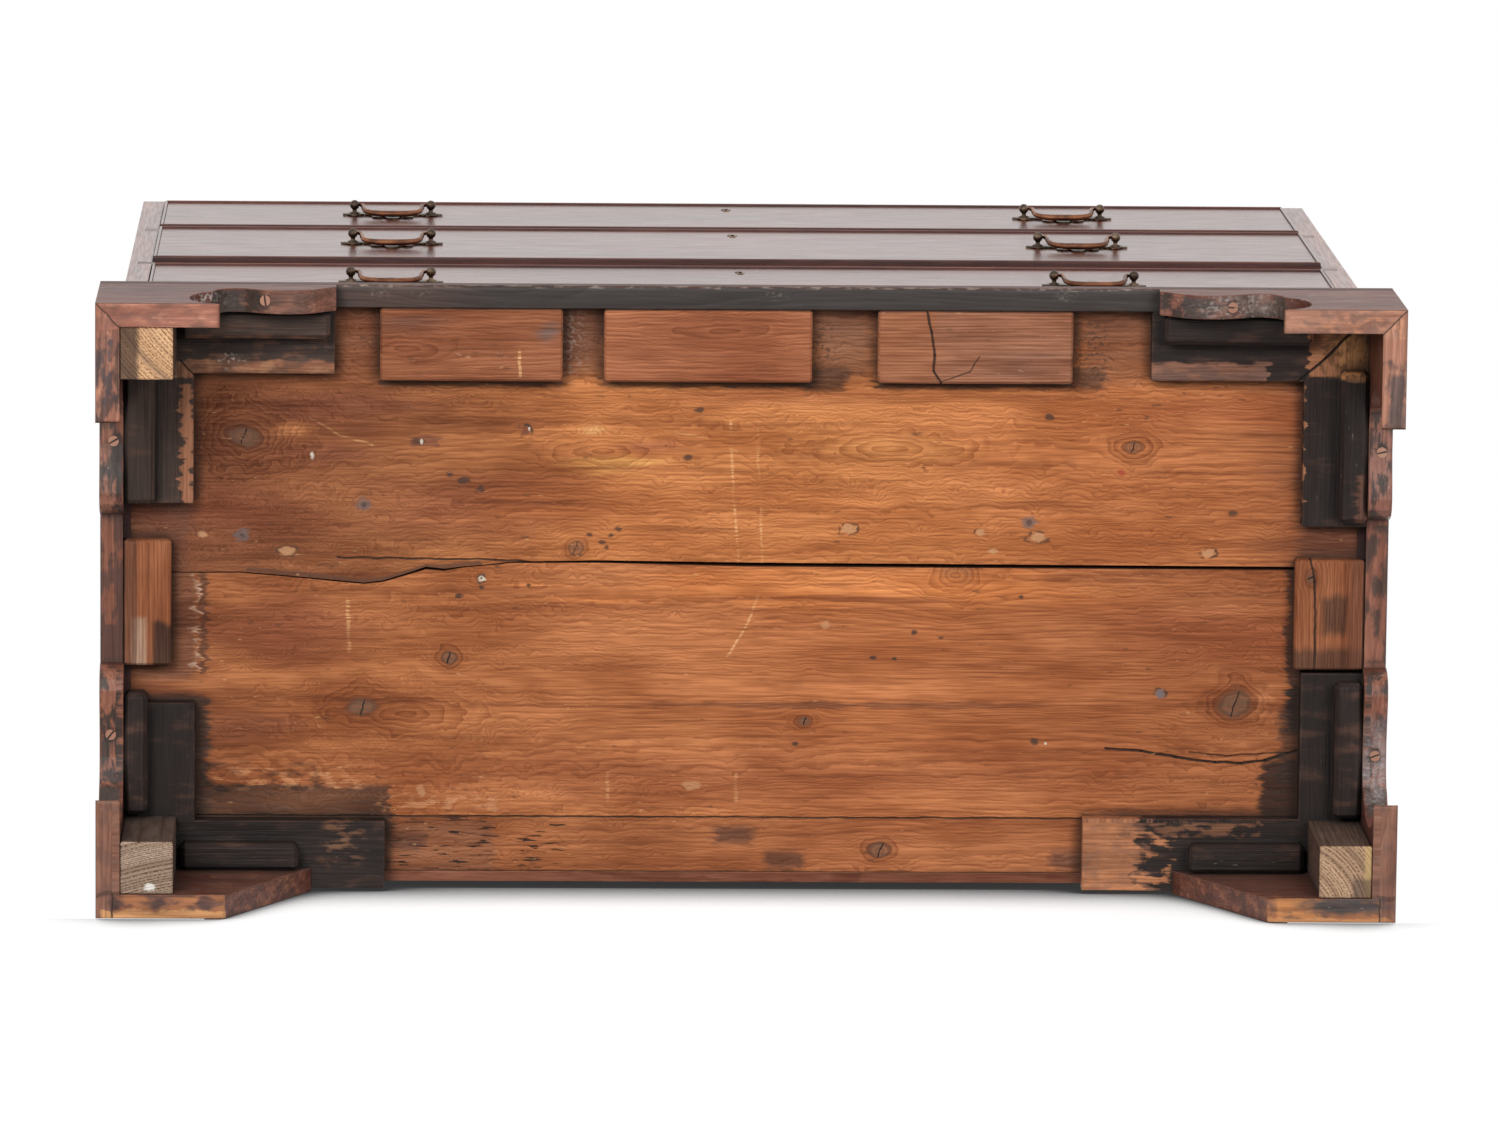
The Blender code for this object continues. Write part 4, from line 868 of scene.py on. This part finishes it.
plates.patch((322, 235), (26, 50), (0.42, 0.17, 0.078), 4, 0.95, streaky=0.1)
plates.blotch((333, 235), (30, 50), (0.24, 0.11, 0.065), 80, 0.4, 0.6)
plates.blotch((350, 245), (30, 30), (0.46, 0.19, 0.085), 130, 0.3, 0.8)
plates.blotch((400, 214), (60, 4.5), (0.22, 0.095, 0.05), 110, 0.6, 0.7)
plates.spot((300, 218), (2, 2), old_white, strength=1.0)
finish_plates(plates, "corner_plates_rear_right")

# Corner posts: square oak posts glued into the feet's inner corners, end grain to the floor. The front
# right one has been lost.
for name, pith, tone, spacing, seed in (
    ("corner_post_front_left", (-400, -340), (0.95, 0.6, 0.34), 3.0, 51.0),
    ("corner_post_rear_left", (-440, 600), (0.52, 0.39, 0.295), 2.6, 53.0),
    ("corner_post_rear_right", (470, 270), (0.64, 0.43, 0.28), 3.1, 55.0),
):
    post = Wood(name, tone, "zx", seed, spacing, 8, late=(0.6, 0.52, 0.46), late_share=0.6, pith=pith,
                mottle=(0.8, 0.78, 0.76), streak_share=0.1, flame_share=0.1, roughness=0.8, relief=0.6,
                tear=(6, 6, 6), tear_stretch=(120, 120, 40), surface=(2, 3))
    pores = post.fade(post.noise(post.here, (560, 560, 20)), 0.42, 0.56)
    pores = post.math("MULTIPLY", pores, post.times_plus(post.rings, 1.1, 0.15), clamp=True)
    post.lay(pores, (0.26, 0.18, 0.13), 1.0, "MULTIPLY")
    low, high = (1000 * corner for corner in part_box(name))
    middle = (low + high) / 2
    post.patch((middle.x, middle.y, 75), (40, 40, 69), (0.045, 0.028, 0.022), 2, 0.93)
    post.blotch(middle.xy, (30, 30), (0.16, 0.1, 0.07), 90, 0.3, 0.6)
    if name.endswith("front_left"):
        post.patch((low.x + 3, middle.y), (10, 30), (0.065, 0.04, 0.03), 6, 0.85)
    elif name.endswith("rear_left"):
        post.spot((low.x + 26, high.y - 6), (6, 4, 10), (0.72, 0.68, 0.62), strength=1.0)
    else:
        post.patch((high.x - 2, middle.y), (3, 30), (0.48, 0.34, 0.16), 3, 0.8)
        post.patch((high.x - 8, high.y - 8), (6, 7), (0.09, 0.06, 0.05), 6, 0.7)
    post.edges((0.14, 0.09, 0.065), 1.2, 0.7)
    post.grime_and_shade((0.02, 0.014, 0.012), 15, 0.6)
    post.dress(name)

# Glue blocks: chamfered pine blocks rubbed on with glue, three behind the front moulding and one at
# each side. One has split and the front ones are sawn from different boards.
across_grain = dict(grain="yx", tear=(6, 20, 6), tear_stretch=(80, 14, 80))
blocks = {
    "front_glue_block_left": dict(tones=(0.4, 0.15, 0.07), seed=61.0,
                                  figures=(((-300, -215), 12, 4.0),)),
    "front_glue_block_middle": dict(tones=(0.46, 0.17, 0.08), seed=63.5,
                                    figures=(((-20, -232), 10, 5.5),)),
    "front_glue_block_right": dict(tones=(0.43, 0.175, 0.088), seed=66.0),
    "side_glue_block_left": dict(tones=(0.42, 0.16, 0.072), seed=68.0, **across_grain),
    "side_glue_block_right": dict(tones=(0.45, 0.175, 0.08), seed=71.0, **across_grain,
                                  knots=(((501.3, -13.8), 3.5, 8, 1.4),)),
}
for name, look in blocks.items():
    look = {"tear": (20, 5, 5), "tear_stretch": (14, 80, 80), **look}
    block = Wood(name, spacing=3.4, waver=20, **look)
    if name == "front_glue_block_left":
        block.cloud((-300, -238), (55, 12), (0.15, 0.065, 0.042), 0.9)
        block.cloud((-176, -230), (14, 14), grey_stain, 0.7)
        block.scratch(((-201.2, -213.6), (-200.5, -191)), 2, 0.8)
    elif name == "front_glue_block_right":
        block.patch((232, -215), (62, 40), (0.26, 0.118, 0.07), 6, 0.7)
        block.cloud((240, -205), (50, 20), (0.17, 0.085, 0.06), 0.6)
        split = ((158, -250), (162, -233), (165.5, -212), (164, -198), (171, -186))
        block.line(split, 1.4, crack, 0.9, 4.0)
        block.line(((171, -188), (196, -196), (205, -210)), 0.8, (0.03, 0.018, 0.012), 0.7, 2.0)
    elif name == "side_glue_block_left":
        block.patch((-513, 55), (7, 20), black_stain, 8, 0.85)
        block.patch((-536, 50), (3, 20), (0.42, 0.33, 0.26), 6, 0.6)
        block.patch((-545, 12), (5, 60), (0.1, 0.05, 0.035), 5, 0.6)
    elif name == "side_glue_block_right":
        block.line(((500.5, -32), (505, -10), (506, 30), (505.5, 70)), 1.3, crack, 0.9, 4.0)
        block.patch((524, 20), (7, 12), (0.05, 0.028, 0.02), 10, 0.75)
        block.patch((520, 62), (30, 8), (0.06, 0.033, 0.024), 10, 0.75)
        block.patch((544, 20), (5, 60), (0.16, 0.07, 0.045), 5, 0.7)
    block.edges((0.46, 0.22, 0.11), 1.6, 0.35)
    block.flecks((0.66, 0.4, 0.22), 0.3)
    block.flecks((0.08, 0.035, 0.02), 0.5, 190, 0.7)
    block.grime_and_shade((0.03, 0.016, 0.011), 10, 0.85)
    block.dress(name)

# Drawers: polished mahogany fronts with a cockbead, dovetailed to oak sides and backs. The bottoms are
# thin pine boards in grooves.
drawers = ("upper", "middle", "lower")
lining_oak = (0.47, 0.285, 0.155)
lining_pine = (0.52, 0.29, 0.15)
# Colour of the dirt and painted shade in the linings' corners.
lining_dirt_and_shade = (0.12, 0.07, 0.045)
quiet_grain = dict(late=(0.72, 0.64, 0.57), late_share=0.5, mottle=(0.88, 0.83, 0.78), streak_share=0.3,
                   flame_share=0.15, relief=0.12)
for index, name in enumerate(drawers):
    next_seed = 3 * index
    front = mahogany(name + " drawer front", "xz", 81.0 + next_seed, (0.165, 0.047, 0.024))
    front.edges((0.1, 0.035, 0.025), 1, 0.4)
    front.polish_and_shade_others((0, -1, 0))
    front.dress(name + "_drawer_front", coat=0.45, coat_roughness=0.16)
    sides = Wood(name + " drawer sides", lining_oak, "yz", 91.0 + next_seed, 4.5, 30, **quiet_grain)
    sides.edges((0.3, 0.17, 0.09), 1.5, 0.4)
    sides.grime_and_shade(lining_dirt_and_shade, 20, 0.5)
    sides.dress(name + "_drawer_side_left", name + "_drawer_side_right")
    back = Wood(name + " drawer back", lining_oak, "xz", 101.0 + next_seed, 4.5, 30, **quiet_grain)
    back.grime_and_shade(lining_dirt_and_shade, 20, 0.5)
    back.dress(name + "_drawer_back")
    bottom = Wood(name + " drawer bottom", lining_pine, "xy", 111.0 + next_seed, 7, 60, **quiet_grain)
    bottom.grime_and_shade((0.14, 0.08, 0.05), 30, 0.5)
    bottom.dress(name + "_drawer_bottom")


# Metalwork: cast brass backplates, posts and bails, gone dark bronze where no hand rubs them, and
# iron locks with a film of rust.
def metal(name, worn, tarnished, roughness, worn_from, worn_to, rust=None, rust_from=0.5):
    cast = Material(name)
    amount = cast.fade(cast.noise(cast.here, (70, 70, 70), 4.0), worn_from, worn_to)
    edge = cast.use(worn_edge, {"Place": cast.here, "Reach": 0.0008})["Mask"]
    amount = cast.math("MAXIMUM", amount, cast.times(edge, 0.8))
    colour, metallic = cast.blend(amount, full(tarnished), full(worn)), 1.0
    if rust:
        bloom = cast.fade(cast.noise(cast.here, (90, 90, 90), 5.0), rust_from, rust_from + 0.15)
        colour = cast.blend(bloom, colour, full(rust))
        metallic = cast.minus(1.0, cast.times(bloom, 0.8))
    bump = {"Height": cast.noise(cast.here, (700, 700, 700), 3.0), "Distance": 0.0001, "Strength": 0.3}
    cast.feed(cast.shader, {"Base Color": colour, "Metallic": metallic,
                            "Normal": cast.node("Bump", bump)[0],
                            "Roughness": cast.times_plus(amount, -0.12, roughness)})
    return cast.made


bronze = metal("dark bronze", (0.28, 0.19, 0.125), (0.075, 0.053, 0.04), 0.34, 0.45, 0.75)
rubbed_bail = metal("rubbed bail brass", (0.31, 0.13, 0.068), (0.12, 0.053, 0.032), 0.32, 0.3, 0.7)
lock_iron = metal("lock iron", (0.3, 0.28, 0.26), (0.08, 0.07, 0.065), 0.55, 0.4, 0.7,
                  rust=(0.16, 0.07, 0.035))


def only(piece):
    """Selects this piece alone and makes it active."""
    bpy.ops.object.select_all(action="DESELECT")
    piece.select_set(True)
    bpy.context.view_layer.objects.active = piece


def copied(piece, name, body, finish):
    """A copy with a mesh of its own, riding on a body."""
    made = piece.copy()
    made.data = piece.data.copy()
    made.name, made.parent = name, None
    for key in list(made.keys()):
        del made[key]
    bpy.context.scene.collection.objects.link(made)
    made.data.materials.clear()
    made.data.materials.append(finish)
    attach(made, body)
    return made


def recast(name, body, finish, smooth_angle):
    """The same casting with its seams merged, so that its turned and swept parts shade as round."""
    new_name = name.replace("handle", "handle_casting").replace("bail", "bail_casting")
    piece = copied(nodes[name], new_name, body, finish)
    only(piece)
    bpy.ops.object.mode_set(mode="EDIT")
    bpy.ops.mesh.select_all(action="SELECT")
    bpy.ops.mesh.remove_doubles(threshold=0.00001)
    bpy.ops.mesh.normals_make_consistent(inside=False)
    bpy.ops.object.mode_set(mode="OBJECT")
    bpy.ops.object.shade_smooth_by_angle(angle=math.radians(smooth_angle))
    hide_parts(name)


for drawer in drawers:
    for side in ("left", "right"):
        recast(f"{drawer}_handle_{side}", f"{drawer}_drawer", bronze, 35)
        recast(f"{drawer}_bail_{side}", f"{drawer}_{side}_bail", rubbed_bail, 50)
    for name in (drawer + "_lock", drawer + "_lock_bolt"):
        nodes[name].material_slots[0].material = lock_iron


# Escutcheons: thin cast brass rims let in round the keyholes, shaped like the hole.
def solid(kind, name, **sizes):
    """A new primitive, alone and selected."""
    bpy.ops.object.select_all(action="DESELECT")
    getattr(bpy.ops.mesh, f"primitive_{kind}_add")(**sizes)
    made = bpy.context.active_object
    made.name = name
    bpy.ops.object.transform_apply(location=True, rotation=True, scale=True)
    return made


def combine(piece, other, operation):
    made = piece.modifiers.new(operation, "BOOLEAN")
    made.operation, made.solver, made.object = operation, "EXACT", other
    only(piece)
    bpy.ops.object.modifier_apply(modifier=made.name)
    bpy.data.objects.remove(other)


def round_edges(piece, width):
    rounding = piece.modifiers.new("rounding", "BEVEL")
    rounding.width, rounding.segments, rounding.limit_method = width, 2, "ANGLE"
    bpy.ops.object.modifier_apply(modifier="rounding")


def keyhole_shape(name, radius, width, drop, depth):
    eye = solid("cylinder", name, vertices=32, radius=radius, depth=depth, rotation=(math.pi / 2, 0, 0))
    tail = solid("cube", name + " tail", size=1, location=(0, 0, -drop / 2), scale=(width, depth, drop))
    combine(eye, tail, "UNION")
    return eye


rim_t = 0.0014
rim_proud = 0.0006
rim_bevel = 0.00022
eye_below = 0.034
bead_proud = 0.002
rim_sizes = dict(radius=0.0046, width=0.0052, drop=0.011, depth=rim_t)
hole_sizes = dict(radius=0.0026, width=0.003, drop=0.0092, depth=4 * rim_t)
rim = keyhole_shape("keyhole rim", **rim_sizes)
combine(rim, keyhole_shape("keyhole", **hole_sizes), "DIFFERENCE")
round_edges(rim, rim_bevel)
brass_rim = metal("escutcheon brass", (0.45, 0.3, 0.14), (0.08, 0.055, 0.035), 0.4, 0.4, 0.7)
for drawer in drawers:
    low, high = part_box(drawer + "_drawer_front")
    escutcheon = copied(rim, drawer + "_escutcheon", drawer + "_drawer", brass_rim)
    place = (0, low.y + bead_proud - rim_proud + rim_t / 2, high.z - eye_below)
    escutcheon.data.transform(Matrix.Translation(place))
bpy.data.objects.remove(rim)

# Foot screws: slotted iron screws up through the feet's facings into the case, one in each front
# bracket's sweep and one in each side bracket. Half of each head stands proud of the wood.
head_r = 0.0047
head_t = 0.0016
head_bevel = 0.0003
slot_width = 0.0016
slot_depth = 0.0011
up = Vector((0, 0, 1))
head = solid("cylinder", "screw head", vertices=32, radius=head_r, depth=head_t)
groove_size = (3 * head_r, slot_width, 2 * slot_depth)
groove = solid("cube", "screw slot", size=1, location=(0, 0, head_t / 2), scale=groove_size)
combine(head, groove, "DIFFERENCE")
round_edges(head, head_bevel)
screw_iron = metal("screw iron", (0.56, 0.34, 0.24), (0.24, 0.13, 0.09), 0.42, 0.35, 0.65,
                   rust=(0.4, 0.2, 0.13), rust_from=0.28)
screws = (
    ("foot_front_left", -0.4243, -0.262, 8), ("foot_front_right", 0.4247, -0.2605, 86),
    ("foot_front_left", -0.5576, -0.1338, 30), ("foot_front_right", 0.5608, -0.1292, 12),
    ("foot_rear_left", -0.5602, 0.1285, 52), ("foot_rear_right", 0.5599, 0.1431, 20),
)
for index, (foot, x, y, turned) in enumerate(screws):
    _, place, normal, _ = nodes[foot].ray_cast(Vector((x, y, -1)), up)
    lean = (normal - up).normalized().to_track_quat("Z", "Y").to_matrix().to_4x4()
    screw = copied(head, f"foot_screw_{index + 1}", "case", screw_iron)
    screw.data.transform(Matrix.Translation(place) @ lean @ Matrix.Rotation(math.radians(turned), 4, "Z"))
bpy.data.objects.remove(head)

# Stage: the chest stands on one pale floor, and the photograph's floor is the one that it lies on,
# behind its back. Both are seen from their upper side only, and darken where the chest meets them.
floor_grey = 0.34
floor_glow = 0.7
floor_reach = 6
seamless_from, seamless_to = 1.0, 2.6
lying_contact = dict(reach=0.13, closed=0.36, darkest=0.05)
standing_contact = dict(reach=0.3, closed=0.0, darkest=0.28)
lying_y = half_y + 0.0005
foot_gap = 0.475
under_back = 0.2
ambient = 0.35


def seen_or_mirrored(graph):
    path = graph.node("LightPath")
    return graph.plus(path["Is Camera Ray"], path["Is Glossy Ray"], clamp=True)


def floor_material(name, reach, closed, darkest):
    floor = Material(name)
    floor.tree.nodes.clear()
    # Painted contact shadow: ambient occlusion from the chest darkens the floor's grey and dims its glow
    # near it.
    open_air = floor.node("AmbientOcclusion", {"Distance": reach}, samples=16)["AO"]
    open_air = floor.fade(open_air, closed, 0.95, darkest, 1.0)
    grey = floor.blend(open_air, full((0, 0, 0)), full(3 * (floor_grey,)))
    diffuse = floor.node("BsdfDiffuse", {"Color": grey})[0]
    glow = floor.node("Emission", {"Strength": floor.times(open_air, floor_glow)})[0]
    near = floor.node("AddShader", {0: diffuse, 1: glow})[0]
    away = floor.fade(floor.length(floor.node("TexCoord")["Object"]), seamless_from, seamless_to)
    pale = floor.node("MixShader", {0: away, 1: near, 2: floor.node("Emission")[0]})[0]
    from_above = floor.minus(1.0, floor.node("NewGeometry")["Backfacing"])
    shown = floor.times(seen_or_mirrored(floor), from_above)
    mix = floor.node("MixShader", {0: shown, 1: floor.node("BsdfTransparent")[0], 2: pale})[0]
    floor.feed(floor.tree.nodes.new("ShaderNodeOutputMaterial").inputs, {"Surface": mix})
    return floor.made


def stage_plane(name, contact, x, corners):
    """A plane as wide as x to both sides, through these two places seen from the side."""
    (first_y, first_z), (last_y, last_z) = corners
    mesh = bpy.data.meshes.new(name)
    outline = [(-x, first_y, first_z), (x, first_y, first_z), (x, last_y, last_z), (-x, last_y, last_z)]
    mesh.from_pydata(outline, [], [(0, 1, 2, 3)])
    plane = bpy.data.objects.new(name, mesh)
    bpy.context.scene.collection.objects.link(plane)
    mesh.materials.append(floor_material(name, **contact))
    plane.visible_shadow = False


stage_plane("floor", standing_contact, floor_reach, ((-floor_reach, 0), (floor_reach, 0)))
stage_plane("lying_floor", lying_contact, floor_reach, ((lying_y, -floor_reach), (lying_y, 0)))
stage_plane("lying_floor_between_feet", lying_contact, foot_gap, ((lying_y, 0), (lying_y, under_back)))

world = bpy.data.worlds.new("studio")
bpy.context.scene.world = world
world.use_nodes = True
sky = Graph(world.node_tree)
sky.tree.nodes.clear()
strength = sky.times_plus(seen_or_mirrored(sky), 1 - ambient, ambient)
background = sky.node("Background", {"Color": full((1, 1, 1)), "Strength": strength})[0]
sky.feed(sky.tree.nodes.new("ShaderNodeOutputWorld").inputs, {"Surface": background})


def soft_light(name, place, target, size, power, mirrored=True):
    lamp = bpy.data.lights.new(name, "AREA")
    lamp.shape = "RECTANGLE"
    lamp.size, lamp.size_y = size
    lamp.energy = power
    made = bpy.data.objects.new(name, lamp)
    made.visible_glossy = mirrored
    bpy.context.scene.collection.objects.link(made)
    aim = (Vector(target) - Vector(place)).to_track_quat("-Z", "Y")
    made.matrix_world = Matrix.Translation(place) @ aim.to_matrix().to_4x4()


soft_light("key", (-1.6, -1.8, -3.0), (0, 0, 0), (1.8, 1.4), 100)
soft_light("fill", (1.8, -1.4, -3.2), (0, 0, 0), (1.8, 1.4), 62)
soft_light("front", (0.6, -3.8, 0.5), (0, 0, 0.4), (3.0, 1.6), 80, mirrored=False)
soft_light("above", (0.5, 1.6, 3.4), (0, 0, 0.5), (2.4, 2.0), 70)
bpy.context.scene.view_settings.view_transform = "Standard"
